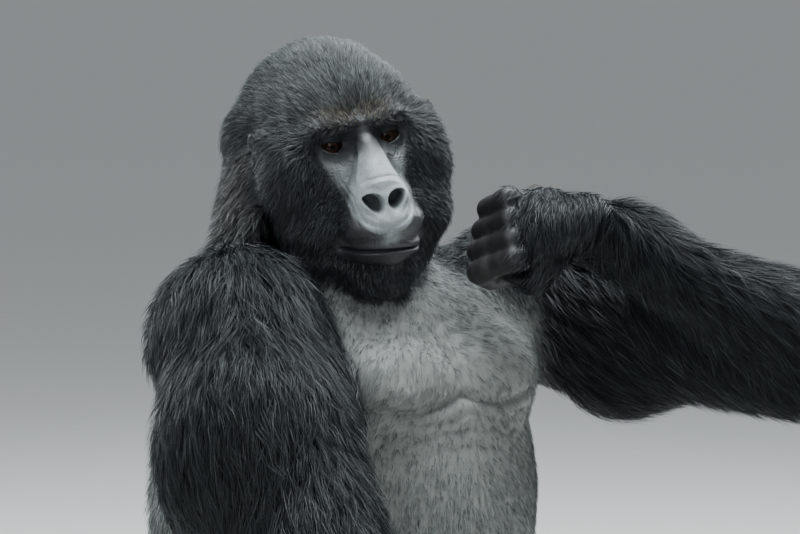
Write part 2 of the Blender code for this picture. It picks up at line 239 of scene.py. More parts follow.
class Part(Enum):
    """The nodes of flesh that the skin covers."""

    HEAD = "head"
    NECK = "neck"
    TRUNK = "trunk"
    UPPER_ARM_LEFT = "upper_arm_left"
    UPPER_ARM_RIGHT = "upper_arm_right"
    FOREARM_LEFT = "forearm_left"
    FOREARM_RIGHT = "forearm_right"
    HAND_LEFT = "hand_left"
    HAND_RIGHT = "hand_right"
    THIGH_LEFT = "thigh_left"
    THIGH_RIGHT = "thigh_right"
    SHIN_LEFT = "shin_left"
    SHIN_RIGHT = "shin_right"
    FOOT_LEFT = "foot_left"
    FOOT_RIGHT = "foot_right"
    EAR_LEFT = "ear_left"
    EAR_RIGHT = "ear_right"

    @property
    def kind(self) -> str:
        """What the part is, without its side."""
        return self.value.split("_")[0]

    @property
    def side(self) -> str:
        """The side that the part is on."""
        return self.value.split("_")[-1]


PARTS = tuple(Part)
EARS = (Part.EAR_LEFT, Part.EAR_RIGHT)
HEAD_PARTS = (Part.HEAD, *EARS)
HANDS = (Part.HAND_LEFT, Part.HAND_RIGHT)
FEET = (Part.FOOT_LEFT, Part.FOOT_RIGHT)
ARMS = (Part.UPPER_ARM_LEFT, Part.UPPER_ARM_RIGHT, Part.FOREARM_LEFT, Part.FOREARM_RIGHT)
LEGS = (Part.THIGH_LEFT, Part.THIGH_RIGHT, Part.SHIN_LEFT, Part.SHIN_RIGHT)


@dataclass
class HeadPlace:
    """Where the head is and how it is turned; its own frame has +X left, -Y forward and +Z up."""

    at: Triple = (-0.077, -0.082, 1.0215)
    yaw: float = -33.0
    pitch: float = 3.0
    roll: float = -10.0

    def matrix(self) -> Matrix:
        """The head's place in the world.

        Returns:
            The 4x4 matrix from the head's frame to the world.
        """
        yaw, pitch, roll = (math.radians(angle) for angle in (self.yaw, self.pitch, self.roll))
        turned = Matrix.Rotation(yaw, 4, "Z") @ Matrix.Rotation(pitch, 4, "X") @ Matrix.Rotation(roll, 4, "Y")
        return Matrix.Translation(self.at) @ turned

    def rotation(self) -> Array:
        """The head's axes as the columns of a 3x3 array."""
        return np.array(self.matrix().to_3x3())

    def inward(self, points: Array) -> Array:
        """World points in the head's frame."""
        return (points - np.array(self.at)) @ self.rotation()

    def outward(self, points: Array) -> Array:
        """Points of the head's frame in the world."""
        return points @ self.rotation().T + np.array(self.at)


@dataclass
class Pose:
    """The joints of the seated animal."""

    hip: Triple = (0.14, 0.03, 0.150)
    knee: Triple = (0.40, -0.20, 0.205)
    ankle: Triple = (0.165, -0.440, 0.085)
    shoulder_left: Triple = (0.255, -0.06, 0.815)
    elbow_left: Triple = (0.405, -0.400, 0.755)
    wrist_left: Triple = (0.118, -0.265, 0.922)
    shoulder_right: Triple = (-0.250, -0.045, 0.808)
    elbow_right: Triple = (-0.325, -0.272, 0.455)
    wrist_right: Triple = (-0.350, -0.505, 0.143)
    knuckles_left: Triple = (0.055, -0.190, 0.912)
    knuckles_right: Triple = (-0.352, -0.550, 0.070)

    def bone(self, start: str, end: str, side: float = 1.0) -> Array:
        """The direction from one joint to another, mirrored for the right side where side is -1."""
        vector = (np.array(getattr(self, end)) - np.array(getattr(self, start))) * (side, 1.0, 1.0)
        return vector / np.linalg.norm(vector)


HEAD = HeadPlace()
POSE = Pose()


@dataclass(frozen=True)
class Hair:
    """How deep the coat is on one kind of part, how long its hair, and how high its tips stand."""

    depth: float
    length: float
    lift: float


HAIR = {
    "head": Hair(0.0125, 0.0140, 0.0095),
    "ear": Hair(0.0, 0.0140, 0.0095),
    "neck": Hair(0.018, 0.030, 0.017),
    "trunk": Hair(0.016, 0.032, 0.015),
    "upper": Hair(0.024, 0.058, 0.023),
    "forearm": Hair(0.020, 0.060, 0.019),
    "hand": Hair(0.001, 0.026, 0.006),
    "thigh": Hair(0.018, 0.044, 0.017),
    "shin": Hair(0.018, 0.046, 0.017),
    "foot": Hair(0.001, 0.018, 0.004),
}
# the head's hair starts from this at the edge of the bare face, and adds the above as it fills out
FACE_EDGE_HAIR = Hair(0.0, 0.0060, 0.0020)
# the chest and belly, which the short hair leaves open to view
FRONT_HAIR = Hair(0.006, 0.030, 0.0055)
CHEST_HAIR_LENGTH = 0.016


@dataclass
class Hand:
    """The bones of one hand, from its wrist along its own -Y with its back up."""

    wrist: Triple
    along: Triple
    back: Triple
    side: float
    bends: tuple[Triple, ...]
    palm: Pair = (0.102, 0.092)
    bones: Triple = (0.060, 0.042, 0.028)
    roots: Pair = (0.36, 0.24)
    root_along: float = 0.92
    root_up: float = 0.004
    fan: Pair = (5.0, 4.0)
    lengths: tuple[float, ...] = (0.94, 1.0, 0.96, 0.82)

    def fingers(self) -> list[tuple[list[Vector], Vector]]:
        """Bends the fingers.

        Returns:
            The joints of each finger from its root to its tip, and the way the back of its tip faces.
        """
        back = -Vector(self.along).normalized()
        across = back.cross(Vector(self.back)).normalized()
        turned = Matrix((across, back, across.cross(back))).transposed()
        found = []
        for index, bends in enumerate(self.bends):
            aside = self.side * self.palm[0] * (self.roots[0] - self.roots[1] * index)
            at = Vector((aside, -self.palm[1] * self.root_along, self.root_up))
            joints = [Vector(self.wrist) + turned @ at]
            spread = self.side * math.radians(self.fan[0] - self.fan[1] * index)
            pitch = 0.0
            for bone, bend in zip(self.bones, bends):
                pitch += math.radians(bend)
                flat = math.cos(pitch)
                step = Vector((math.sin(spread) * flat, -math.cos(spread) * flat, -math.sin(pitch)))
                at = at + step * bone * self.lengths[index]
                joints.append(Vector(self.wrist) + turned @ at)
            outer = Vector((0.0, -math.sin(pitch), math.cos(pitch)))
            found.append((joints, turned @ outer))
        return found

    def tips(self) -> list[tuple[Vector, Vector, Vector]]:
        """The tip of each finger, the way it points and the way its back faces."""
        return [(joints[-1], joints[-1] - joints[-2], outer) for joints, outer in self.fingers()]


@dataclass
class Foot:
    """The toes of one foot."""

    side: float
    length: float = 0.285
    turn: float = 14.0
    toes: tuple[Pair, ...] = ((0.036, 0.066), (0.012, 0.068), (-0.012, 0.062), (-0.035, 0.054))

    def tips(self) -> list[tuple[Vector, Vector, Vector]]:
        """Places the toes.

        Returns:
            The tip of each toe, the way it points and the way its back faces.
        """
        heel = Matrix.Translation((self.side * POSE.ankle[0], POSE.ankle[1] + 0.035, 0))
        place = heel @ Matrix.Rotation(math.radians(self.side * self.turn), 4, "Z")
        turned = place.to_3x3()
        ball = -self.length * 0.60
        found = []
        for across, length in self.toes:
            at = Vector((-self.side * across * 1.22, ball - 0.030 - 1.05 * length, 0.017))
            found.append((place @ at, turned @ Vector((0, -1, -0.25)), Vector((0, -0.25, 1))))
        first = Vector((-self.side * 0.086, ball * 0.62 - 0.098, 0.020))
        found.append((place @ first, turned @ Vector((-self.side * 0.25, -1, -0.1)), Vector((0, -0.2, 1))))
        return found


LEFT_HAND = Hand(
    POSE.wrist_left,
    (-0.62, 0.76, -0.10),
    (-0.70, -0.58, 0.36),
    1.0,
    ((38, 72, 40), (46, 76, 42), (54, 78, 42), (60, 80, 42)),
)
RIGHT_HAND = Hand(
    POSE.wrist_right,
    (-0.02, -0.52, -0.80),
    (-0.10, -0.80, 0.52),
    -1.0,
    ((28, 92, 50), (26, 94, 50), (28, 94, 50), (34, 92, 50)),
)


@dataclass
class EyePlan:
    """The eyeballs' size and place in the head's frame, and the shape of the opening between the lids."""

    spread: float = 0.0345
    depth: float = 0.003
    radius: float = 0.0150
    slant: float = math.radians(11.0)
    half_width: float = math.radians(80.0)
    upper: float = math.radians(25.0)
    lower: float = math.radians(28.0)
    gaze_turn: float = -11.0
    gaze_drop: float = 1.0

    def centre(self, side: float) -> Array:
        """The middle of an eyeball in the head's frame."""
        return np.array((side * self.spread, self.depth, 0.0))

    def ring(self, across: Array, z: Array) -> Array:
        """How far points are from the middle of the rounds of wrinkles under an eye."""
        return np.hypot((across - self.spread) * 0.86, z + 0.001)


EYES = EyePlan()


# ---- the skin


@dataclass
class SkinPlan:
    """Sizes for making the skin from the nodes of flesh."""

    swell: float = 0.0004
    weld: float = 0.0028
    weld_reach: float = 0.0030
    voxel: float = 0.0034
    soften_passes: int = 90
    sink_steps: int = 6
    settle_passes: int = 6
    body_triangles: int = 62_000
    joint_reach: float = 0.055
    joint_thin: float = 0.65
    seat_height: float = 0.02
    plug_at: Triple = (0.015, -0.066, -0.064)
    plug_size: Triple = (0.013, 0.010, 0.012)
    soften: tuple[tuple[str, float], ...] = (("head", 0.16), ("hand", 0.03), ("foot", 0.05), ("ear", 0.03))


class Skin:
    """The one skin over all the nodes of flesh, with its masks and the lie of the coat."""

    def __init__(self, plan: SkinPlan) -> None:
        """Takes the plan.

        Args:
            plan: the sizes for making the skin.
        """
        self.plan = plan
        self.item: Item
        self.part: Array
        self.point: Array
        self.normal: Array
        self.local: Array

    def build(self) -> Item:
        """Makes the skin and its masks.

        Returns:
            The skin's object.
        """
        self.item = add_object("skin", self.clay())
        self.fuse()
        self.label()
        self.soften()
        self.sink()
        self.thin()
        self.unwrap()
        self.refine()
        self.label()
        FACE.sculpt(self)
        Torso().sculpt(self)
        Digits().sculpt(self)
        Markings(self).store()
        shade_smooth(self.item.data)
        return self.item

    def clay(self) -> Mesh:
        """All nodes of flesh, swollen where they meet, with the eyes and nostrils filled.

        Returns:
            A mesh of shells that run through each other.
        """
        points, faces = [], []
        start = 0
        names = [part.value for part in PARTS] + ["eye_left", "eye_right"]
        nodes = {name: self.welded(bpy.data.objects[name].data) for name in names}
        trees = {name: self.tree([mesh]) for name, mesh in nodes.items()}
        for name, mesh in nodes.items():
            places = read_points(mesh)
            others = [tree for other, tree in trees.items() if other != name]
            reach = self.plan.weld_reach
            meets = [any(tree.find_nearest(place, reach)[0] for tree in others) for place in places.tolist()]
            swell = np.where(np.array(meets), self.plan.weld, self.plan.swell)
            places = places + read_points(mesh, "normal") * swell[:, None]
            points.append(places)
            faces += [[start + index for index in face.vertices] for face in mesh.polygons]
            start += len(places)
        clay = bmesh.new()
        for side in (1, -1):
            at = Matrix.Translation((side * self.plan.plug_at[0], *self.plan.plug_at[1:]))
            plug = at @ Matrix.Diagonal((*self.plan.plug_size, 1))
            bmesh.ops.create_icosphere(clay, subdivisions=2, radius=1.0, matrix=HEAD.matrix() @ plug)
        plugs = to_mesh(clay, "plugs")
        points.append(read_points(plugs))
        faces += [[start + index for index in face.vertices] for face in plugs.polygons]
        mesh = bpy.data.meshes.new("skin")
        mesh.from_pydata(np.concatenate(points).tolist(), [], faces)
        return mesh

    @staticmethod
    def welded(mesh: Mesh) -> Mesh:
        """Joins the faces of a mesh at their corners.

        Args:
            mesh: the mesh, which stays as it is.

        Returns:
            A copy whose faces share their vertices.
        """
        clay = bmesh.new()
        clay.from_mesh(mesh)
        bmesh.ops.remove_doubles(clay, verts=clay.verts, dist=1e-6)
        for face in clay.faces:
            face.smooth = True
        return to_mesh(clay, mesh.name)

    @staticmethod
    def tree(meshes: list[Mesh]) -> BVHTree:
        """A search tree over the faces of some meshes.

        Args:
            meshes: the meshes, whose faces are counted on in this order.

        Returns:
            The tree.
        """
        points, faces = [], []
        for mesh in meshes:
            start = len(points)
            points += [tuple(vert.co) for vert in mesh.vertices]
            faces += [[start + index for index in face.vertices] for face in mesh.polygons]
        return BVHTree.FromPolygons(points, faces)

    def fuse(self) -> None:
        """Turns the overlapping nodes into one closed surface."""
        remesh = self.item.modifiers.new("Fuse", "REMESH")
        remesh.mode = "VOXEL"
        remesh.voxel_size = self.plan.voxel
        settle(self.item)

    def label(self) -> None:
        """Finds for each vertex the node of flesh that it belongs to."""
        nodes = [bpy.data.objects[part.value].data for part in PARTS]
        tree = self.tree(nodes)
        owner = np.repeat(np.arange(len(PARTS)), [len(node.polygons) for node in nodes])
        found = [tree.find_nearest(vert.co)[2] for vert in self.item.data.vertices]
        self.part = owner[np.array(found)]
        self.read()

    def read(self) -> None:
        """Reads the points as they now are."""
        self.point = read_points(self.item.data)
        self.normal = read_points(self.item.data, "normal")
        self.local = HEAD.inward(self.point)

    def among(self, *parts: Part) -> Array:
        """True for the vertices of these parts."""
        return np.isin(self.part, [PARTS.index(part) for part in parts])

    def hair(self, what: str) -> Array:
        """A size of the coat by the kind of part, which on the head grows away from the bare face.

        Args:
            what: depth, length or lift.

        Returns:
            The size at each vertex.
        """
        size = np.array([getattr(HAIR[part.kind], what) for part in PARTS])[self.part]
        on_head = getattr(FACE_EDGE_HAIR, what) + size * Face.growth(self.local)
        return np.where(self.among(*HEAD_PARTS), on_head, size)

    def soften(self) -> None:
        """Rounds off the facets, most on the body and least on the hands, feet and ears."""
        group = self.item.vertex_groups.new(name="soften")
        for number, part in enumerate(PARTS):
            rate = dict(self.plan.soften).get(part.kind, 1.0)
            where = np.nonzero(self.part == number)[0]
            group.add(where.tolist(), rate, "REPLACE")
        soften = self.item.modifiers.new("Soften", "SMOOTH")
        soften.factor = 0.5
        soften.iterations = self.plan.soften_passes
        soften.vertex_group = group.name
        settle(self.item)
        self.read()

    def coat_depth(self) -> Array:
        """How far the skin lies under the tips of the coat.

        Returns:
            The depth at each vertex.
        """
        plan = self.plan
        front = self.among(Part.TRUNK) & (self.point[:, 1] < -0.04) & (self.point[:, 2] > 0.12)
        depth = np.where(front, FRONT_HAIR.depth, self.hair("depth"))
        ankle = np.array(POSE.ankle)
        for joint in (POSE.wrist_left, POSE.wrist_right, ankle, ankle * (-1, 1, 1)):
            near = bell(lengths(self.point - np.array(joint)), plan.joint_reach)
            depth = depth * (1 - plan.joint_thin * near)
        return np.where(self.point[:, 2] < plan.seat_height, 0.0, depth)

    def sink(self) -> None:
        """Moves the skin in under the coat, and fuses it again where it folds over itself."""
        mesh = self.item.data
        near = Neighbours(mesh)
        depth = near.soften(self.coat_depth(), 30)
        rate = 0.5 * ramp(0.002, 0.008, depth)
        points, steps = self.point, self.plan.sink_steps
        for _ in range(steps):
            points = points - read_points(mesh, "normal") * depth[:, None] / steps
            points = near.soften(points, 2, rate)
            points[:, 2] = np.where(self.point[:, 2] < 0.0006, 0.0, np.maximum(points[:, 2], 0.0))
            write_points(mesh, points)
        self.fuse()
        self.label()
        near = Neighbours(self.item.data)
        rate = 0.5 * ~self.among(*HEAD_PARTS, *HANDS, *FEET) * (self.point[:, 2] > 0.004)
        points = near.soften(self.point, self.plan.settle_passes, rate)
        points[:, 2] = np.where(points[:, 2] < 0.0016, 0.0, points[:, 2])
        write_points(self.item.data, points)

    def near_ears(self) -> Array:
        """1 on the ears, falling to 0 a little way round them."""
        ears = self.among(*EARS).astype(np.float64)
        return np.clip(Neighbours(self.item.data).soften(ears, 8) * 1.25, 0, 1)

    def thin(self) -> None:
        """Takes triangles away from the body, and leaves the head, hands and feet fine."""
        group = self.item.vertex_groups.new(name="thin")
        x, y, z = self.point.T
        chest = self.among(Part.TRUNK) & (y < -0.06) & (z > 0.60) & (z < 0.86) & (np.abs(x) < 0.21)
        fine = self.among(*HEAD_PARTS, *HANDS, *FEET) | chest
        group.add(np.nonzero(~fine)[0].tolist(), 1.0, "REPLACE")
        triangles = 2 * len(self.item.data.polygons)
        kept = triangles * fine.mean()
        thin = self.item.modifiers.new("Thin", "DECIMATE")
        thin.ratio = (kept + self.plan.body_triangles) / triangles
        thin.vertex_group = group.name
        thin.vertex_group_factor = 1.0
        settle(self.item)
        self.item.vertex_groups.clear()

    def unwrap(self) -> None:
        """Unwraps the skin, for the coat's colour map."""
        bpy.ops.object.select_all(action="DESELECT")
        bpy.context.view_layer.objects.active = self.item
        self.item.select_set(True)
        bpy.ops.object.mode_set(mode="EDIT")
        bpy.ops.mesh.select_all(action="SELECT")
        bpy.ops.uv.smart_project(angle_limit=math.radians(66), island_margin=0.002)
        bpy.ops.object.mode_set(mode="OBJECT")
        self.item.data.uv_layers[0].name = "OFBake"

    def refine(self) -> None:
        """Divides the face, and most of all the eyes, nose and mouth."""
        clay = bmesh.new()
        clay.from_mesh(self.item.data)
        for zone in (Face.wide_zone, Face.near_zone):
            inside = self.inside(clay, zone)
            edges = [edge for edge in clay.edges if all(inside[vert.index] for vert in edge.verts)]
            bmesh.ops.subdivide_edges(clay, edges=edges, cuts=1, use_grid_fill=True)
            inside = self.inside(clay, zone)
            clay.verts.index_update()
            chosen = [vert for vert in clay.verts if inside[vert.index]]
            for _ in range(2):
                bmesh.ops.smooth_vert(
                    clay, verts=chosen, factor=0.5, use_axis_x=True, use_axis_y=True, use_axis_z=True
                )
        clay.to_mesh(self.item.data)
        clay.free()

    @staticmethod
    def inside(clay: Clay, zone: Callable[[Array], Array]) -> Array:
        """True for the vertices of the clay that are in a zone of the head."""
        return zone(HEAD.inward(np.array([vert.co[:] for vert in clay.verts])))

    def move(self, points: Array) -> None:
        """Moves the points of the skin."""
        write_points(self.item.data, points)
        self.read()


# ---- the face


@dataclass
class Face:
    """The folds, lids, nose and mouth, in the head's frame."""

    place: HeadPlace
    eyes: EyePlan
    nostril_at: Pair = (0.0136, -0.0645)
    nostril_size: Pair = (0.0150, 0.0108)
    nostril_tilt: float = math.radians(47.0)
    pad_at: float = -0.0665
    pad_size: Pair = (0.0345, 0.0265)
    mouth_half: float = 0.050
    ear_at: Triple = (0.113, 0.072, 0.002)
    ear_sunk: float = 0.0030
    ear_kept: Pair = (0.70, 0.80)
    lid_gap: float = 0.0017
    lid_thick: float = 0.0009
    lid_inner: float = 0.0022

    @staticmethod
    def bare_half_width(z: Array) -> Array:
        """Half the width of the bare face.

        Args:
            z: heights in the head's frame.

        Returns:
            Half the width at each of them.
        """
        low = (-142, -138, -132, -124, -106, -89, -70), (0, 30, 47, 55, 52, 43, 40)
        high = (-48, -30, -10, 6, 14, 21), (40, 47, 55, 58, 54, 0)
        heights, widths = (np.array(first + second) / 1000 for first, second in zip(low, high))
        return np.interp(z, heights, widths)

    @staticmethod
    def bare_margin(x: Array, z: Array) -> Array:
        """How far outside the bare face a point is; inside it, less than 0."""
        return np.abs(x) - Face.bare_half_width(z)

    @staticmethod
    def growth(local: Array) -> Array:
        """How full the head's hair is.

        Args:
            local: points in the head's frame.

        Returns:
            0 at the edge of the bare face, rising to 1 well away from it.
        """
        x, y, z = local.T
        near = ramp(-0.002, 0.034, Face.bare_margin(x, z))
        over = ramp(0.018, 0.052, z)
        return np.maximum(np.maximum(near, over), ramp(0.02, 0.07, y))

    @staticmethod
    def wide_zone(local: Array) -> Array:
        """The front of the head, which is divided once."""
        x, y, z = local.T
        return (np.abs(x) < 0.078) & (y < 0.035) & (z > -0.19) & (z < 0.055)

    @staticmethod
    def near_zone(local: Array) -> Array:
        """The eyes, nose and mouth, which are divided again.

        Args:
            local: points in the head's frame.

        Returns:
            True for the points there.
        """
        x, y, z = local.T
        middle = (np.abs(x) < 0.062) & (z < 0.024) & (z > -0.050)
        nose = (np.abs(x) < 0.042) & (z < -0.040) & (z > -0.112)
        mouth = (np.abs(x) < 0.060) & (z < -0.098) & (z > -0.142)
        return (y < 0.020) & (middle | nose | mouth)

    @staticmethod
    def bridge_half(z: Array) -> Array:
        """Half the width of the nose's flat bridge at a height."""
        return np.interp(z, (-0.050, -0.036, -0.020, 0.000, 0.012), (0.0315, 0.0260, 0.0195, 0.0135, 0.0090))

    def nostril_reach(self, local: Array, side: float) -> Array:
        """How far points are from the middle of a nostril.

        Args:
            local: points in the head's frame.
            side: 1 for the left nostril, -1 for the right.

        Returns:
            The distances: 0 in its middle and 1 at its rim.
        """
        out = local[:, 0] * side - self.nostril_at[0]
        up = local[:, 2] - self.nostril_at[1]
        cos, sin = math.cos(self.nostril_tilt), math.sin(self.nostril_tilt)
        along = (out * cos + up * sin) / self.nostril_size[0]
        beside = (-out * sin + up * cos) / self.nostril_size[1]
        return np.hypot(along, beside + 0.30 * along * along)

    def sculpt(self, skin: Skin) -> None:
        """Shapes the skin of the face.

        Args:
            skin: the skin, whose mesh is changed.
        """
        local, normal = skin.local, skin.normal @ self.place.rotation()
        active = skin.among(Part.HEAD) & (local[:, 1] < 0.06) & (local[:, 2] < 0.07) & (local[:, 2] > -0.2)
        lips = bell(local[:, 2] - self.mouth_line(local[:, 0]) - 0.002, 0.019)
        lips *= ramp(0.075, 0.055, np.abs(local[:, 0])) * ramp(0.035, 0.015, local[:, 1])
        local = Neighbours(skin.item.data).soften(local, 45, 0.7 * lips * active)
        front = ramp(0.15, -0.25, normal[:, 1]) * active
        raised = (self.nose(local) + self.mouth(local) + self.folds(local)) * front
        local = local + normal * raised[:, None]
        local = self.nostrils(local, front)
        local = self.lids(local, active)
        local = self.ears(local, skin.near_ears())
        skin.move(self.place.outward(local))

    def nose(self, local: Array) -> Array:
        """The flat bridge with a crease down each side, and the raised pad round the nostrils.

        Args:
            local: points in the head's frame.

        Returns:
            How far each of them is raised.
        """
        x, _, z = local.T
        across = np.abs(x)
        pad = np.hypot(x / self.pad_size[0], (z - self.pad_at) / self.pad_size[1])
        raised = 0.0020 * (1 - ramp(0.86, 1.04, pad))
        top = ramp(-0.088, -0.074, z)
        ring = bell(pad - 1.09, 0.055)
        raised -= 0.0013 * ring * top * (1 - 0.55 * bell(x, 0.012))
        raised -= 0.0009 * ring * (1 - top)
        half = self.bridge_half(z)
        along = ramp(-0.054, -0.040, z) * (1 - ramp(0.000, 0.014, z))
        raised += 0.0030 * (1 - ramp(0.80, 1.02, across / half)) * along
        raised -= 0.0026 * bell(across / half - 1.16, 0.16) * along
        return raised

    @staticmethod
    def mouth_line(x: Array) -> Array:
        """The height of the mouth's line, which a chewing jaw slants a little."""
        return -0.1240 - 0.105 * x - 0.4 * x**2

    def mouth(self, local: Array) -> Array:
        """The closed mouth's long line, the lips beside it and the groove under the nose.

        Args:
            local: points in the head's frame.

        Returns:
            How far each of them is raised.
        """
        x, _, z = local.T
        line = self.mouth_line(x)
        inside = 1 - ramp(0.90, 1.08, np.abs(x) / self.mouth_half)
        gap = z - line
        raised = np.zeros(len(x))
        for height, at, width in ((-0.0042, 0.0, 0.0017), (0.0013, 0.006, 0.004), (0.0010, -0.0042, 0.003)):
            raised += height * bell(gap - at, width) * inside
        raised -= 0.0012 * bell(gap + 0.0120, 0.0050) * (1 - ramp(0.5, 0.95, np.abs(x) / self.mouth_half))
        corner = np.hypot(np.abs(x) - self.mouth_half * 1.04, gap * 0.8)
        raised -= 0.0020 * bell(corner, 0.0050)
        lip = ramp(0.003, 0.009, gap) * (1 - ramp(-0.100, -0.092, z))
        raised += (-0.0009 * bell(x, 0.0024) + 0.0006 * bell(np.abs(x) - 0.0065, 0.0030)) * lip
        # uneven skin on the upper lip
        lumps = np.sin(x * 560 + 1.9 * np.sin(z * 430 + 1)) * np.sin(z * 610 + 2.3 * np.sin(x * 310))
        lumps += 0.7 * np.sin(x * 910 + 2.2 * np.sin(z * 770)) * np.sin(z * 980 + 1.7 * np.sin(x * 640 + 2))
        raised += 0.00034 * lumps * lip * ramp(0.042, 0.028, np.abs(x))
        return raised

    def folds(self, local: Array) -> Array:
        """Wrinkles under and over the eyes, beside the nose and on the brow.

        Args:
            local: points in the head's frame.

        Returns:
            How far each of them is raised.
        """
        x, _, z = local.T
        across = np.abs(x)
        raised = np.zeros(len(x))
        ring = self.eyes.ring(across, z)
        bridge = ramp(0.95, 1.25, across / self.bridge_half(z))
        under = ramp(0.004, -0.008, z) * bridge
        waver = 0.0011 * np.sin(across * 330 + 1.2 * np.sin(x * 510))
        waver += 0.0007 * np.sin(across * 760 + z * 300)
        fading = 0.55 + 0.45 * np.sin(across * 210 + z * 260)
        # rounds under the eye, from the lid to the cheek, in tenths of a millimetre
        for radius, depth in zip((206, 236, 268, 300, 334, 370, 405), (7, 6, 7, 5, 6, 4, 4)):
            raised -= 0.00017 * depth * bell(ring - radius / 10000 + waver, 0.0009) * under * fading
        raised += 0.0010 * bell(ring - 0.0182, 0.0026) * under
        # the crease over the lid, and short upright ones over that
        over = ramp(0.002, 0.009, z)
        raised -= 0.0010 * bell(ring - 0.0186, 0.0011) * over
        spread, apart = self.eyes.spread, 0.0040
        nearest = spread + apart * np.round((across - spread) / apart)
        stretched = bell(x - np.sign(x) * nearest, 0.0009)
        raised -= 0.0006 * stretched * bell(z - 0.0165, 0.0055) * (np.abs(across - spread) < 0.022)
        # three lines from beside the nose down the cheek
        along = ramp(-0.094, -0.080, z) * ramp(-0.020, -0.032, z)
        for start, slope in ((0.0400, 0.10), (0.0445, 0.06), (0.0365, 0.18)):
            crease = across - (start + slope * (z + 0.042)) + 0.6 * waver
            raised -= 0.0008 * bell(crease, 0.0011) * along
        brow = bell(z - 0.030, 0.012) * (across < 0.066)
        raised += 0.0004 * np.sin(x * 900) * brow
        raised -= 0.0016 * bell(across, 0.0030) * bell(z - 0.022, 0.010)
        return raised

    def nostrils(self, local: Array, front: Array) -> Array:
        """Sinks both nostrils up and back into the nose, with a rolled rim.

        Args:
            local: points in the head's frame.
            front: 1 for those on the front of the face.

        Returns:
            The moved points.
        """
        moved = local.copy()
        for side in (1.0, -1.0):
            reach = self.nostril_reach(local, side)
            near = front * (local[:, 0] * side > 0.0008) * (local[:, 1] < -0.03)
            hole = (1 - ramp(0.62, 1.02, reach)) * near
            rim = bell(reach - 1.22, 0.16) * near
            moved[:, 1] += 0.0170 * hole - 0.0004 * rim
            moved[:, 2] += 0.0070 * hole
        return moved

    def ears(self, local: Array, share: Array) -> Array:
        """Draws the ears in, so that the hair round them half covers them.

        Args:
            local: points in the head's frame.
            share: 1 on the ears, 0 away from them.

        Returns:
            The moved points.
        """
        moved = local.copy()
        side = np.sign(local[:, 0])
        out = np.abs(local[:, 0]) - self.ear_at[0]
        moved[:, 0] = side * (self.ear_at[0] - self.ear_sunk + out * self.ear_kept[0])
        for axis in (1, 2):
            moved[:, axis] = self.ear_at[axis] + (local[:, axis] - self.ear_at[axis]) * self.ear_kept[1]
        return local + (moved - local) * share[:, None]

    def opening(self, offset: Array, side: float) -> tuple[Array, Array, Array]:
        """How far each direction from an eye's middle is outside the opening between the lids.

        Args:
            offset: points less the eye's middle, in the head's frame.
            side: 1 for the left eye, -1 for the right.

        Returns:
            The angle outside the opening, less than 0 inside it; the angle above its line; and how far
            along it the direction is, from 0 in its middle to 1 at its ends.
        """
        out = offset[:, 0] * side
        cos, sin = math.cos(self.eyes.slant), math.sin(self.eyes.slant)
        across = out * cos + offset[:, 2] * sin
        up = -out * sin + offset[:, 2] * cos
        turn = np.arctan2(across, -offset[:, 1])
        rise = np.arctan2(up, np.hypot(across, offset[:, 1]))
        share = np.clip(np.abs(turn) / self.eyes.half_width, 0, 1.4)
        upper = self.eyes.upper * (1 - share**2.4)
        lower = -self.eyes.lower * (1 - share**2.0)
        outside = np.maximum(rise - upper, lower - rise)
        return outside, rise, share

    def lids(self, local: Array, active: Array) -> Array:
        """Lays thick lids over each eyeball and opens them.

        Args:
            local: points in the head's frame.
            active: 1 for those on the face.

        Returns:
            The moved points.
        """
        moved = local.copy()
        for side in (1.0, -1.0):
            centre = self.eyes.centre(side)
            offset = moved - centre
            distance = lengths(offset)
            outside, _, _ = self.opening(offset, side)
            lid = self.eyes.radius + self.lid_gap + self.lid_thick * ramp(0.03, 0.25, outside)
            rest = ramp(0.10, 0.80, outside)
            target = lid + (np.maximum(distance, lid) - lid) * rest
            inner = self.eyes.radius - self.lid_inner
            target = inner + (target - inner) * ramp(-0.06, 0.02, outside)
            scale = target / np.maximum(distance, 1e-6)
            fade = 1 - ramp(0.0230, 0.0315, np.hypot(offset[:, 0], offset[:, 2]))
            fade *= active * (1 - ramp(0.0, 0.012, offset[:, 1]))
            fade *= 1 - ramp(0.028, 0.036, distance)
            scale = 1 + (scale - 1) * fade
            moved = centre + offset * scale[:, None]
        return moved


FACE = Face(HEAD, EYES)


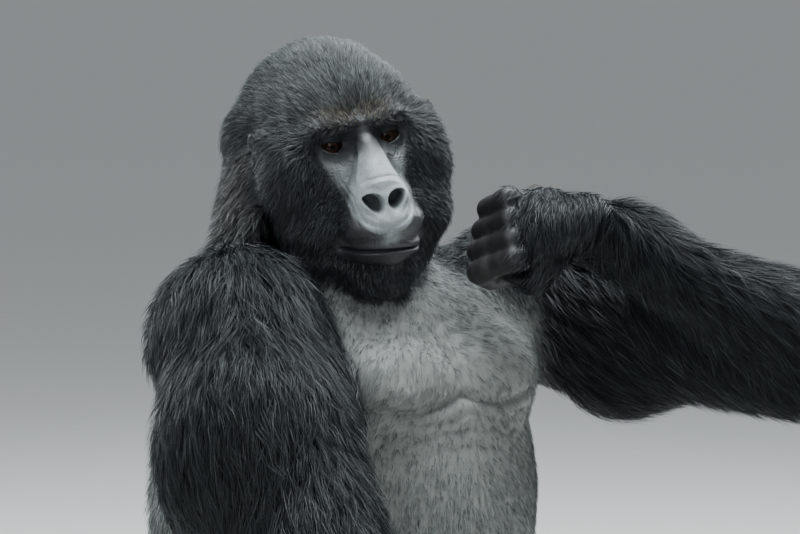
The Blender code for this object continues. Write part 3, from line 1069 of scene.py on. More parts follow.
@dataclass
class Torso:
    """The folds of the chest and belly, which the short hair there leaves open to view."""

    fold_at: float = 0.704
    fold_sag: float = 0.016
    muscle_at: Pair = (0.088, 0.748)
    nipple_at: Pair = (0.105, 0.728)

    def sculpt(self, skin: Skin) -> None:
        """Shapes the skin of the chest and belly.

        Args:
            skin: the skin, whose mesh is changed.
        """
        x, y, z = skin.point.T
        across = np.abs(x + 0.010)
        front = skin.among(Part.TRUNK) * ramp(-0.04, -0.11, y)
        fold = self.fold_at + self.fold_sag * ((across - 0.085) / 0.085) ** 2
        open_side = ramp(0.19, 0.15, across)
        muscle = np.hypot((across - self.muscle_at[0]) / 0.085, (z - self.muscle_at[1]) / 0.046)
        raised = 0.0080 * (1 - ramp(0.35, 1.15, muscle))
        raised -= 0.0065 * bell(z - fold, 0.0060) * open_side
        raised -= 0.0045 * bell(across, 0.0055) * ramp(0.69, 0.72, z) * ramp(0.82, 0.78, z)
        for drop, depth in ((0.021, 0.0022), (0.038, 0.0017), (0.058, 0.0012)):
            line = fold - drop + 0.004 * np.sin(x * 60 + drop * 300)
            raised -= depth * bell(z - line, 0.0035) * ramp(0.15, 0.10, across)
        for rise, depth in ((0.058, 0.0010), (0.073, 0.0012), (0.090, 0.0010)):
            line = self.fold_at + rise + 0.25 * across + 0.003 * np.sin(x * 90)
            raised -= depth * bell(z - line, 0.0030) * ramp(0.14, 0.10, across)
        nipple = np.hypot(across - self.nipple_at[0], z - self.nipple_at[1])
        raised += 0.0050 * bell(nipple, 0.0055) + 0.0012 * bell(nipple - 0.012, 0.005)
        skin.move(skin.point + skin.normal * (raised * front)[:, None])


@dataclass
class Digits:
    """The grooves between the fingers, and the thick joints and creases along them."""

    radii: tuple[float, float, float, float] = (0.0158, 0.0150, 0.0138, 0.0118)
    deepest: float = 0.0065

    def sculpt(self, skin: Skin) -> None:
        """Draws the skin of both hands in round each finger.

        Args:
            skin: the skin, whose mesh is changed.
        """
        points = skin.point.copy()
        for part, hand in ((Part.HAND_LEFT, LEFT_HAND), (Part.HAND_RIGHT, RIGHT_HAND)):
            chosen = np.flatnonzero(skin.among(part))
            gap = self.gap(points[chosen], hand)
            close = 1 - ramp(0.006, 0.012, gap)
            sink = np.clip(gap, -0.0012, self.deepest) * close * (points[chosen, 2] > 0.012)
            points[chosen] -= skin.normal[chosen] * sink[:, None]
        skin.move(points)

    def gap(self, spots: Array, hand: Hand) -> Array:
        """How far each place is outside the nearest finger.

        Args:
            spots: the places.
            hand: the hand.

        Returns:
            The distances, less than 0 inside a finger.
        """
        gap = np.full(len(spots), np.inf)
        for joints, _ in hand.fingers():
            for index in range(3):
                first, last = np.array(joints[index]), np.array(joints[index + 1])
                line = last - first
                length = np.linalg.norm(line)
                share = np.clip((spots - first) @ line / length**2, 0, 1)
                away = lengths(spots - first - share[:, None] * line)
                radius = self.radii[index] * (1 - share) + self.radii[index + 1] * share
                radius -= 0.0012 * bell((share - 0.5) * length, 0.008)
                for offset in (0.0035, 0.0080):
                    radius -= 0.0007 * bell((1 - share) * length - offset, 0.0011)
                gap = np.minimum(gap, away - radius)
        return gap


# ---- markings and the lie of the coat


class Markings:
    """Where the body is silver, bare or tan, where sheen, glints, shade and light on the crown are painted
    on, and how the hair lies, grows and stands there.
    """

    def __init__(self, skin: Skin) -> None:
        """Takes the finished skin.

        Args:
            skin: the skin, after it has read its points.
        """
        self.skin = skin
        self.near = Neighbours(skin.item.data)
        self.x, self.y, self.z = skin.point.T
        self.hx, self.hy, self.hz = skin.local.T

    def store(self) -> None:
        """Works out each mask and stores it on the skin and for the coat."""
        skin = self.skin
        for name in ("bare", "silver", "pale", "tan", "wet", "dark", "palm"):
            values = getattr(self, name)()
            setattr(skin, name, values)
            add_mask(skin.item.data, name, values)
        skin.comb = unit(self.near.soften(self.comb(), 26))
        for name, passes in (("length", 14), ("lift", 14), ("thick", 10)):
            setattr(skin, name, self.near.soften(getattr(self, name)(), passes))

    def on(self, *parts: Part) -> Array:
        """1 for the vertices of these parts, and 0 elsewhere."""
        return self.skin.among(*parts).astype(np.float64)

    def bare(self) -> Array:
        """Where the skin shows: face, lips, brow, ears, palms, soles and fingers.

        Returns:
            The mask, from 0 to 1.
        """
        face = 1 - ramp(-0.004, 0.005, Face.bare_margin(self.hx, self.hz))
        face *= ramp(0.030, 0.015, self.hy)
        bare = np.maximum(face * self.on(*HEAD_PARTS), self.on(*EARS))
        return np.clip(bare + self.palm(), 0, 1)

    def palm(self) -> Array:
        """The palms, soles, fingers and toes.

        Returns:
            The mask, from 0 to 1.
        """
        feet = self.on(*FEET)
        sole = feet * np.maximum(ramp(0.052, 0.036, self.z), ramp(-0.545, -0.575, self.y))
        hands = self.on(*HANDS)
        left = self.on(Part.HAND_LEFT) * self.beyond("wrist_left", "knuckles_left", 0.080)
        right = self.on(Part.HAND_RIGHT) * self.beyond("wrist_right", "knuckles_right", 0.066)
        return self.near.soften(np.clip(sole + left + right, 0, 1) * np.maximum(feet, hands), 6)

    def beyond(self, start: str, end: str, distance: float) -> Array:
        """1 beyond a distance along the line from one joint to another, and 0 before it."""
        along = (self.skin.point - np.array(getattr(POSE, start))) @ POSE.bone(start, end)
        return ramp(distance - 0.016, distance + 0.010, along)

    def silver(self) -> Array:
        """The silver saddle of the back, flanks and thighs, the sparse silver hair of the chest, and the top
        of the head lightened as painted light from above.

        Returns:
            The mask, from 0 to 1.
        """
        behind = ramp(-0.06, 0.06, self.y + 0.10 * ramp(0.55, 0.30, self.z))
        band = ramp(0.05, 0.16, self.z) * ramp(0.84, 0.66, self.z)
        saddle = behind * band * self.on(Part.TRUNK)
        thigh = self.on(Part.THIGH_LEFT, Part.THIGH_RIGHT) * ramp(0.42, 0.26, np.abs(self.x)) * 0.7
        nape = self.on(Part.NECK, Part.TRUNK) * ramp(0.84, 0.93, self.z) * 0.30
        # painted light: the top of the head is lightened where the light falls from above, less over the
        # middle of the brow
        between = bell(np.hypot(self.hx, self.hz - 0.026), 0.014)
        nape += self.on(Part.HEAD) * ramp(0.005, 0.045, self.hz) * 0.26 * (1 - between)
        chest = self.on(Part.TRUNK) * ramp(-0.02, -0.08, self.y) * ramp(0.22, 0.54, self.z)
        wide = 0.24 - 0.10 * ramp(0.79, 0.87, self.z)
        chest *= ramp(0.0, -0.09, np.abs(self.x) - wide) * (1 - 0.25 * ramp(0.72, 0.84, self.z))
        soft = self.near.soften(np.clip(saddle + thigh + nape, 0, 1), 18)
        return np.clip(np.maximum(soft, self.near.soften(chest, 10) * 0.9), 0, 1)

    def pale(self) -> Array:
        """A painted sheen: the reflection on the bridge and pad of the nose, painted in as light grey, which
        fades out below it, with painted highlights down the upper lip and under the eyes.

        Returns:
            The mask, from 0 to 1.
        """
        head = self.on(Part.HEAD)
        across = np.abs(self.hx)
        heights = (-0.104, -0.094, -0.080, -0.064, -0.046, -0.028, -0.012, 0.004)
        half = np.interp(self.hz, heights, (0.014, 0.027, 0.036, 0.038, 0.0315, 0.0225, 0.0165, 0.007))
        nose = (1 - ramp(0.86, 1.10, across / half)) * ramp(0.002, -0.020, self.hz)
        nose *= ramp(-0.108, -0.091, self.hz)
        # painted highlight down the middle of the upper lip
        lip = bell(across, 0.010) * ramp(-0.121, -0.110, self.hz) * 0.75
        lip *= ramp(-0.086, -0.098, self.hz)
        # painted highlights on the wrinkles under the eyes
        cheek = bell(np.hypot(across - 0.033, (self.hz + 0.030) * 0.8), 0.013) * 0.55
        return np.clip(np.maximum(np.maximum(nose, lip), cheek), 0, 1) * head

    def tan(self) -> Array:
        """The brownish hair along the brow and down the nape.

        Returns:
            The mask, from 0 to 1.
        """
        head = self.on(Part.HEAD)
        brow = bell(self.hz - 0.031, 0.008) * ramp(0.060, 0.012, np.abs(self.hx)) * 0.75
        brow *= ramp(0.05, 0.01, self.hy)
        nape = self.on(Part.NECK) * 0.30
        return np.clip(brow * head + self.near.soften(nape, 12), 0, 1)

    def dark(self) -> Array:
        """Dark skin with painted shade: the nearly black sockets between the brow and the eyes, dark skin
        with painted shade under the brow, painted shade along the mouth's line and inside the nostrils,
        darker skin below the mouth, and painted shade over the ears.

        Returns:
            The mask, from 0 to 1.
        """
        across = np.abs(self.hx)
        # the sockets: dark skin, with painted shade under the overhanging brow
        socket = ramp(-0.003, 0.006, self.hz) * ramp(0.066, 0.054, across)
        socket *= ramp(0.0, 0.010, across)
        beside = bell(np.hypot(across - 0.0175, self.hz - 0.002), 0.0095) * 0.85
        ring = EYES.ring(across, self.hz)
        beside = np.maximum(beside, (1 - ramp(0.0140, 0.0220, ring)) * 0.80)
        # painted shade in the crease of the mouth's line
        line = Face.mouth_line(self.hx)
        mouth = bell(self.hz - line, 0.0024) * ramp(0.054, 0.048, across)
        below = 0.60 * ramp(0.0005, -0.0060, self.hz - line) * ramp(0.03, 0.0, self.hy)
        dark = np.maximum(np.maximum(socket, beside), np.maximum(mouth, below))
        # painted shade inside the nostrils
        for side in (1.0, -1.0):
            reach = FACE.nostril_reach(self.skin.local, side)
            dark = np.maximum(dark, (1 - ramp(0.66, 0.98, reach)) * (self.hy < -0.02))
        # painted shade over the ears
        ears = self.near.soften(self.on(*EARS), 4)
        return np.clip(np.clip(dark, 0, 1) * self.on(Part.HEAD) + 0.75 * ears, 0, 1)

    def wet(self) -> Array:
        """The wet edge of each lower lid, where a glint is painted in as a lighter colour.

        Returns:
            The mask, from 0 to 1.
        """
        wet = np.zeros(len(self.x))
        for side in (1.0, -1.0):
            offset = self.skin.local - EYES.centre(side)
            distance = lengths(offset)
            outside, rise, share = FACE.opening(offset, side)
            edge = bell(outside - 0.010, 0.026) * ramp(0.0, -0.12, rise)
            edge *= ramp(0.94, 0.60, share) * (distance < EYES.radius + 0.004)
            wet = np.maximum(wet, edge * (offset[:, 1] < 0))
        return wet

    # the lie of the coat

    def comb(self) -> Array:
        """The direction in which the hair lies, along the skin.

        Returns:
            A vector of length 1 at each vertex.
        """
        skin = self.skin
        comb = np.zeros_like(skin.point)
        sign = np.sign(self.x)
        chest = ramp(0.02, -0.08, self.y) * ramp(0.55, 0.75, self.z)
        trunk = mix(columns(0.22 * sign, 0.0, -1.0), columns(0.55 * sign, 0.0, -1.0), chest)
        varied = {Part.TRUNK: trunk, Part.NECK: columns(0.30 * sign, 0.30, -1.0)}
        varied |= dict.fromkeys(HEAD_PARTS, self.head_comb())
        arms = {
            "left": (POSE.bone("shoulder_left", "elbow_left") * 0.9 - UP * 0.45, (0.60, -0.25, -0.75)),
            "right": (POSE.bone("shoulder_right", "elbow_right") + (0, 0.25, 0), (-0.30, 0.55, -0.75)),
        }
        fixed = {
            Part.HAND_LEFT: POSE.bone("wrist_left", "knuckles_left") - UP * 0.25,
            Part.HAND_RIGHT: POSE.bone("wrist_right", "knuckles_right"),
            Part.THIGH_LEFT: POSE.bone("hip", "knee") - UP * 0.5,
            Part.THIGH_RIGHT: POSE.bone("hip", "knee", -1.0) - UP * 0.5,
            Part.SHIN_LEFT: POSE.bone("knee", "ankle") - UP * 0.3,
            Part.SHIN_RIGHT: POSE.bone("knee", "ankle", -1.0) - UP * 0.3,
            Part.FOOT_LEFT: (0.25, -1.0, -0.1),
            Part.FOOT_RIGHT: (-0.25, -1.0, -0.1),
        }
        for number, part in enumerate(PARTS):
            where = skin.part == number
            if part in varied:
                comb[where] = varied[part][where]
            elif part in ARMS:
                upper = self.off_bone(where, "shoulder_" + part.side, "elbow_" + part.side)
                lower = self.off_bone(where, "elbow_" + part.side, "wrist_" + part.side)
                above, below = (np.array(vector)[None] for vector in arms[part.side])
                comb[where] = mix(above, below, ramp(-0.02, 0.02, upper - lower))
            else:
                comb[where] = fixed[part]
        wrist = ramp(0.13, 0.04, lengths(skin.point - np.array(POSE.wrist_left)))
        left = skin.among(Part.HAND_LEFT, Part.FOREARM_LEFT) * wrist
        comb = mix(unit(comb), unit(np.array((-0.30, -0.30, -1.0))[None]), left)
        return unit(self.flat(unit(comb)))

    def off_bone(self, where: Array, start: str, end: str) -> Array:
        """The distance of some vertices from a bone.

        Args:
            where: True for the vertices.
            start: the name of the joint where the bone starts.
            end: the name of the joint where it ends.

        Returns:
            The distances.
        """
        first, last = np.array(getattr(POSE, start)), np.array(getattr(POSE, end))
        line = last - first
        offset = self.skin.point[where] - first
        share = np.clip(offset @ line / (line @ line), 0, 1)
        return lengths(offset - share[:, None] * line)

    def flat(self, vectors: Array) -> Array:
        """The vectors less what points out of the skin."""
        out = (vectors * self.skin.normal).sum(axis=1, keepdims=True)
        return vectors - out * self.skin.normal

    def head_comb(self) -> Array:
        """Back over the crown from the brow, down the cheeks and forward under the chin.

        Returns:
            The direction at each vertex.
        """
        side = np.sign(self.hx)
        crown = columns(0.55 * self.hx / 0.08, 1.0, 0.35)
        comb = mix(crown, columns(0.35 * side, 0.45, -1.0), ramp(0.045, -0.005, self.hz))
        nape = ramp(0.13, 0.20, self.hy) * ramp(0.12, 0.03, self.hz)
        comb = mix(comb, columns(0.15 * side, 0.2, -1.0), nape)
        chin = ramp(-0.118, -0.145, self.hz) * ramp(0.05, 0.0, self.hy)
        comb = mix(comb, columns(0.10 * side, 0.05, -1.0), chin)
        return comb @ HEAD.rotation().T

    def length(self) -> Array:
        """The hair's length, which is shorter on the chest and belly.

        Returns:
            The length at each vertex.
        """
        front = self.skin.among(Part.TRUNK) & (self.y < -0.03)
        length = np.where(front, FRONT_HAIR.length, self.skin.hair("length") * self.trim())
        return np.where(front & (self.z > 0.48), CHEST_HAIR_LENGTH, length)

    def trim(self) -> Array:
        """How much of its length the hair keeps over the brow's edge and round the ears.

        Returns:
            The share at each vertex, 1 elsewhere.
        """
        across = np.abs(self.hx)
        brow = bell(self.hz - 0.022, 0.014) * ramp(0.085, 0.060, across)
        brow *= 1 + 0.5 * bell(across, 0.012)
        brow *= ramp(0.05, 0.02, self.hy)
        ear = bell(lengths(columns(across, self.hy, self.hz) - np.array(Face.ear_at)), 0.036)
        return 1 - self.on(*HEAD_PARTS, Part.NECK) * np.maximum(0.50 * brow, 0.55 * ear)

    def thick(self) -> Array:
        """How densely the hair grows.

        Returns:
            The share of the most that it can be.
        """
        front = self.on(Part.TRUNK) * ramp(-0.05, -0.10, self.y)
        middle = ramp(0.19, 0.12, np.abs(self.x)) * ramp(0.60, 0.66, self.z)
        middle *= ramp(0.85, 0.79, self.z)
        return 1.0 - 0.55 * front * middle

    def lift(self) -> Array:
        """How high the tips stand over the skin."""
        front = self.skin.among(Part.TRUNK) & (self.y < -0.03)
        return np.where(front, FRONT_HAIR.lift, self.skin.hair("lift") * self.trim())


# ---- the coat


@dataclass
class Growth:
    """One stretch of coat: where it grows, how thick and how fine."""

    name: str
    parts: tuple[Part, ...]
    strands: int
    width: float
    tuft: int
    tuft_radius: float
    gather: float
    front: bool | None = None


@dataclass
class CoatPlan:
    """The stretches of coat, what all strands share, and the most triangles that one piece may hold."""

    most: int = 180_000
    steps: int = 2
    patch: float = 0.003
    seed: int = 11
    sway: float = 0.16
    guide_length: Pair = (0.78, 1.18)
    guide_lift: Pair = (0.55, 1.12)
    bare_shorter: float = 0.45
    strand_length: Pair = (0.72, 1.0)
    strand_lift: Pair = (0.45, 1.0)
    curl: float = 0.05
    roll: float = 0.55
    root_depth: float = 0.0012
    taper: float = 0.35
    lowest: float = 0.0004
    growths: tuple[Growth, ...] = (
        Growth("head", (Part.HEAD,), 122_000, 0.00062, 5, 0.0030, 0.30),
        Growth("neck", (Part.NECK,), 14_000, 0.0009, 6, 0.0050, 0.40),
        Growth("arm_right", (Part.UPPER_ARM_RIGHT, Part.FOREARM_RIGHT), 90_000, 0.00085, 9, 0.0075, 0.50),
        Growth("arm_left", (Part.UPPER_ARM_LEFT, Part.FOREARM_LEFT), 70_000, 0.00090, 9, 0.0075, 0.50),
        Growth("back", (Part.TRUNK,), 72_000, 0.00110, 7, 0.0070, 0.45, front=False),
        Growth("front", (Part.TRUNK,), 62_000, 0.00060, 5, 0.0050, 0.35, front=True),
        Growth("leg", LEGS, 56_000, 0.00110, 8, 0.0080, 0.50),
        Growth("hand", HANDS, 9_500, 0.00080, 5, 0.0040, 0.35),
        Growth("foot", FEET, 3_500, 0.00080, 4, 0.0040, 0.30),
    )


class Pelt:
    """The skin as arrays: picks roots on it and walks along it in the lie of the coat."""

    def __init__(self, skin: Skin) -> None:
        """Reads the skin's triangles, and the map that the coat's colours are laid out on.

        Args:
            skin: the finished skin.
        """
        self.skin = skin
        mesh = skin.item.data
        mesh.calc_loop_triangles()
        self.corners = read_field(mesh.loop_triangles, "vertices", 3, np.int32)
        self.loops = read_field(mesh.loop_triangles, "loops", 3, np.int32)
        self.places = read_field(mesh.uv_layers["OFBake"].uv, "vector", 2)
        spots = skin.point[self.corners]
        cross = np.cross(spots[:, 1] - spots[:, 0], spots[:, 2] - spots[:, 0])
        self.area = lengths(cross) / 2
        self.tree = BVHTree.FromPolygons(skin.point.tolist(), self.corners.tolist())

    def weight(self, growth: Growth) -> Array:
        """How much hair each triangle gets.

        Args:
            growth: the stretch of coat.

        Returns:
            A weight for each triangle.
        """
        skin = self.skin
        grows = (1 - skin.bare) * skin.thick * skin.among(*growth.parts)
        if growth.front is not None:
            front = ramp(-0.02, -0.07, skin.point[:, 1]) * ramp(0.05, 0.12, skin.point[:, 2])
            grows = grows * (front if growth.front else 1 - front)
        low = ramp(0.002, 0.012, skin.point[:, 2])
        return self.area * (grows * low)[self.corners].mean(axis=1)

    def roots(self, growth: Growth, count: int, dice: np.random.Generator) -> tuple[Array, Array]:
        """Picks places on the skin.

        Args:
            growth: the stretch of coat.
            count: how many places.
            dice: the source of chance.

        Returns:
            The triangle of each place and its three shares of the corners.
        """
        weight = self.weight(growth)
        total = np.cumsum(weight)
        spots = (np.arange(count) + dice.random(count)) / count * total[-1]
        chosen = np.minimum(np.searchsorted(total, spots), len(total) - 1)
        first, second = np.sqrt(dice.random(count)), dice.random(count)
        shares = np.stack((1 - first, first * (1 - second), first * second), axis=1)
        return chosen, shares

    def at(self, values: Array, chosen: Array, shares: Array) -> Array:
        """Values at places on the skin.

        Args:
            values: the values at its vertices.
            chosen: the triangle of each place.
            shares: its three shares of the corners.

        Returns:
            The value at each place.
        """
        corner = values[self.corners[chosen]]
        if corner.ndim == 2:
            return (corner * shares).sum(axis=1)
        return (corner * shares[:, :, None]).sum(axis=1)

    def map_at(self, chosen: Array, shares: Array) -> Array:
        """Places on the colour map."""
        return (self.places[self.loops[chosen]] * shares[:, :, None]).sum(axis=1)

    def nearest(self, points: Array) -> tuple[Array, Array, Array]:
        """The nearest places on the skin.

        Args:
            points: the points to start from.

        Returns:
            The places, the triangle of each and its three shares of the corners.
        """
        found = [self.tree.find_nearest(point) for point in points.tolist()]
        spots = np.array([hit[0][:] for hit in found])
        chosen = np.array([hit[2] for hit in found])
        a, b, c = (self.skin.point[self.corners[chosen, corner]] for corner in range(3))
        ab, ac, ap = b - a, c - a, spots - a
        d00, d01, d11 = (ab * ab).sum(1), (ab * ac).sum(1), (ac * ac).sum(1)
        d20, d21 = (ap * ab).sum(1), (ap * ac).sum(1)
        scale = np.maximum(d00 * d11 - d01 * d01, 1e-18)
        second = (d11 * d20 - d01 * d21) / scale
        third = (d00 * d21 - d01 * d20) / scale
        shares = np.clip(np.stack((1 - second - third, second, third), axis=1), 0, 1)
        return spots, chosen, shares / shares.sum(axis=1, keepdims=True)


class Coat:
    """The hair: flat tapering strands in tufts, as plain mesh."""

    def __init__(self, plan: CoatPlan, pelt: Pelt) -> None:
        """Takes the plan and the skin's arrays.

        Args:
            plan: the stretches of coat.
            pelt: the skin's arrays.
        """
        self.plan = plan
        self.pelt = pelt
        self.dice = np.random.default_rng(plan.seed)

    def build(self) -> list[Item]:
        """Makes every stretch of coat, in pieces of at most the plan's most triangles.

        Returns:
            The pieces.
        """
        made = []
        for growth in self.plan.growths:
            arrays = self.grow(growth)
            triangles = (2 * self.plan.steps - 1) * len(arrays["vary"])
            pieces = math.ceil(triangles / self.plan.most)
            order = np.arange(len(arrays["vary"]))
            for number, share in enumerate(np.array_split(order, pieces)):
                name = f"coat_{growth.name}" + (f"_{number + 1}" if pieces > 1 else "")
                made.append(self.piece(name, {key: value[share] for key, value in arrays.items()}))
                log.info("%s: %d strands", name, len(share))
        return made

    def guides(self, growth: Growth, count: int) -> dict[str, Array]:
        """Walks from the middle of each tuft along the skin, the way the hair lies.

        Args:
            growth: the stretch of coat.
            count: how many tufts.

        Returns:
            For each tuft, the places on its way and what its strands take over.
        """
        pelt, skin = self.pelt, self.pelt.skin
        chosen, shares = pelt.roots(growth, count, self.dice)
        spot = pelt.at(skin.point, chosen, shares)
        normal = unit(pelt.at(skin.normal, chosen, shares))
        heading = unit(pelt.at(skin.comb, chosen, shares))
        sway = self.dice.normal(0, self.plan.sway, count)
        length = pelt.at(skin.length, chosen, shares) * self.dice.uniform(*self.plan.guide_length, count)
        length *= 1 - self.plan.bare_shorter * pelt.at(skin.bare, chosen, shares)
        lift = pelt.at(skin.lift, chosen, shares) * self.dice.uniform(*self.plan.guide_lift, count)
        data = {
            "map": pelt.map_at(chosen, shares),
            "silver": pelt.at(skin.silver, chosen, shares),
            "tan": pelt.at(skin.tan, chosen, shares),
            "lift": lift,
        }
        spots, normals, sides = [spot], [normal], []
        for _ in range(self.plan.steps):
            flat = unit(heading - (heading * normal).sum(1, keepdims=True) * normal)
            side = np.cross(normal, flat)
            flat = unit(flat + side * sway[:, None])
            sides.append(np.cross(normal, flat))
            ahead = spot + flat * (length / self.plan.steps)[:, None]
            spot, chosen, shares = pelt.nearest(ahead)
            normal = unit(pelt.at(skin.normal, chosen, shares))
            heading = unit(0.5 * flat + 0.5 * pelt.at(skin.comb, chosen, shares))
            spots.append(spot)
            normals.append(normal)
        sides.append(sides[-1])
        data["spots"] = np.stack(spots, axis=1)
        data["normals"] = np.stack(normals, axis=1)
        data["sides"] = unit(np.stack(sides, axis=1))
        return data

    def grow(self, growth: Growth) -> dict[str, Array]:
        """Makes the strands of one stretch of coat.

        Args:
            growth: the stretch of coat.

        Returns:
            For each strand, its points and what the material reads.
        """
        tufts = growth.strands // growth.tuft
        guide = self.guides(growth, tufts)
        owner = np.repeat(np.arange(tufts), growth.tuft)
        count, plan, dice = len(owner), self.plan, self.dice
        steps = plan.steps
        angle, radius = dice.uniform(0, math.tau, count), growth.tuft_radius * np.sqrt(dice.random(count))
        across, along = np.cos(angle) * radius, np.sin(angle) * radius
        share = dice.uniform(*plan.strand_length, count)
        lift = guide["lift"][owner] * dice.uniform(*plan.strand_lift, count)
        curl = dice.normal(0, plan.curl, count)
        roll = dice.normal(0, plan.roll, count)
        spots, normals, sides = (guide[key][owner] for key in ("spots", "normals", "sides"))
        first = unit(spots[:, 1] - spots[:, 0])
        span = lengths(spots[:, -1] - spots[:, 0])
        points = np.zeros((count, 2 * steps + 1, 3))
        for step in range(steps + 1):
            part = step / steps * share
            place = part * steps
            low = np.minimum(place.astype(int), steps - 1)
            rest = (place - low)[:, None]
            rows = np.arange(count)
            spot = spots[rows, low] * (1 - rest) + spots[rows, low + 1] * rest
            normal = unit(normals[rows, low] * (1 - rest) + normals[rows, low + 1] * rest)
            side = sides[rows, low]
            close = 1 - growth.gather * part**1.5
            rise = -plan.root_depth + (lift + plan.root_depth) * np.minimum(1.35 * part, 1.0) ** 0.75
            centre = spot + side * (across * close + curl * span * part**2)[:, None]
            centre += first * (along * (1 - 0.5 * growth.gather * part))[:, None] + normal * rise[:, None]
            if step == steps:
                points[:, 2 * steps] = centre
                continue
            flat = side * np.cos(roll)[:, None] + normal * np.sin(roll)[:, None]
            half = growth.width / 2 * (1.0 - plan.taper * (step / steps))
            points[:, 2 * step] = centre - flat * half
            points[:, 2 * step + 1] = centre + flat * half
        points[:, :, 2] = np.maximum(points[:, :, 2], plan.lowest)
        return {
            "points": points,
            "map": guide["map"][owner],
            "silver": guide["silver"][owner],
            "tan": guide["tan"][owner],
            "vary": np.clip(dice.normal(0.5, 0.2, count) + dice.normal(0, 0.14, tufts)[owner], 0, 1),
        }

    def piece(self, name: str, arrays: dict[str, Array]) -> Item:
        """Turns strands into one mesh object with its masks and its colour map.

        Args:
            name: the object's name.
            arrays: for each strand, its points and what the material reads.

        Returns:
            The object.
        """
        count, steps = len(arrays["vary"]), self.plan.steps
        corners = 2 * steps + 1
        pattern = []
        for step in range(steps - 1):
            a, b, c, d = (2 * step + offset for offset in range(4))
            pattern += [(a, b, d), (a, d, c)]
        pattern.append((2 * steps - 2, 2 * steps - 1, 2 * steps))
        faces = (np.arange(count)[:, None, None] * corners + np.array(pattern)[None]).reshape(-1)
        mesh = bpy.data.meshes.new(name)
        mesh.vertices.add(count * corners)
        mesh.vertices.foreach_set("co", arrays["points"].astype(np.float32).ravel())
        total = len(faces) // 3
        mesh.loops.add(len(faces))
        mesh.loops.foreach_set("vertex_index", faces.astype(np.int32))
        mesh.polygons.add(total)
        mesh.polygons.foreach_set("loop_start", np.arange(0, len(faces), 3, dtype=np.int32))
        mesh.polygons.foreach_set("loop_total", np.full(total, 3, dtype=np.int32))
        shade_smooth(mesh)
        tip = np.array([step / steps for step in range(steps) for _ in range(2)] + [1.0])
        add_mask(mesh, "tip", np.tile(tip, count))
        for key in ("silver", "tan", "vary"):
            add_mask(mesh, key, np.repeat(arrays[key], corners))
        beside = np.array([side for _ in range(steps) for side in (-0.5, 0.5)] + [0.0])
        local = np.stack((beside, tip - 0.5), axis=1) * self.plan.patch
        places = np.clip(arrays["map"][:, None, :] + local[None], 0.0005, 0.9995).reshape(-1, 2)
        layer = mesh.uv_layers.new(name="OFBake")
        layer.uv.foreach_set("vector", places[faces].astype(np.float32).ravel())
        mesh.update()
        mesh.validate()
        return add_object(name, mesh)


# ---- finishes


@dataclass(frozen=True)
class HairFinish:
    """The colours of the hair, from root to tip, and its gloss; the roots are darkened as painted shade deep
    in the coat, and the black tips are lightened and tinted blue-grey as a painted sheen.
    """

    name: str = "hair"
    # the dark roots are painted shade deep in the coat; the lighter blue-grey black tip is a painted sheen
    black_root: Colour = (0.0022, 0.0027, 0.0033)
    black_tip: Colour = (0.0105, 0.0130, 0.0148)
    silver_root: Colour = (0.035, 0.035, 0.034)
    silver_tip: Colour = (0.180, 0.193, 0.187)
    tan_tip: Colour = (0.110, 0.086, 0.058)
    roughness: float = 0.50
    gloss: float = 0.34
    sheen: float = 0.08
    sheen_roughness: float = 0.45
    sheen_tint: Colour = (0.62, 0.72, 0.82)
    variety: float = 0.55
    silver_edge: Pair = (0.45, 1.05)
    shades: Pair = (0.40, 1.8)


# a shaded copy of the hair for the arms, legs and back: darker black tips and less gloss, as painted shade
SHADED_LONG_HAIR = HairFinish(name="long_hair", black_tip=(0.0068, 0.0088, 0.0092), gloss=0.24)


@dataclass(frozen=True)
class SkinFinish:
    """The colours of the skin and how deep its wrinkles are."""

    name: str = "skin"
    under_coat: Colour = (0.010, 0.011, 0.013)
    face: Colour = (0.028, 0.028, 0.030)
    # painted sheen: the light grey of the nose, the lip and under the eyes; dull is the darker share of its
    # blotches
    pale: Colour = (0.335, 0.358, 0.374)
    chest: Colour = (0.225, 0.232, 0.218)
    palm: Colour = (0.0150, 0.0145, 0.0148)
    # painted glint: the lighter colour of the wet lid edges
    wet: Colour = (0.046, 0.040, 0.038)
    roughness: float = 0.47
    unevenness: float = 0.10
    blotches: float = 70.0
    wrinkles: float = 520.0
    wrinkle_shade: Pair = (0.88, 1.09)
    bump: float = 0.32
    depth: float = 0.0005
    dull: float = 0.52
    gloss: float = 0.5
    dark_gloss: float = 0.1
    covered_gloss: float = 0.20


@dataclass(frozen=True)
class EyeFinish:
    """The colours of the eye."""

    name: str = "eye"
    pupil: Colour = (0.001, 0.001, 0.001)
    iris: Colour = (0.0120, 0.0064, 0.0046)
    light: Colour = (0.0235, 0.0120, 0.0080)
    ring: Colour = (0.0040, 0.0022, 0.0016)
    white: Colour = (0.0080, 0.0048, 0.0040)
    roughness: float = 0.07
    gloss: float = 0.05
    pupil_edge: Pair = (0.34, 0.44)
    ring_edge: Pair = (0.80, 1.02)
    white_edge: Pair = (1.02, 1.30)


@dataclass(frozen=True)
class PlainFinish:
    """An even colour with faint blotches, for the floor and the nails."""

    name: str
    colour: Colour
    roughness: float
    blotches: float = 25.0
    lighter: float = 1.06


FLOOR = PlainFinish("floor", (0.62, 0.62, 0.60), 0.65)
NAIL = PlainFinish("nail", (0.016, 0.014, 0.013), 0.32)


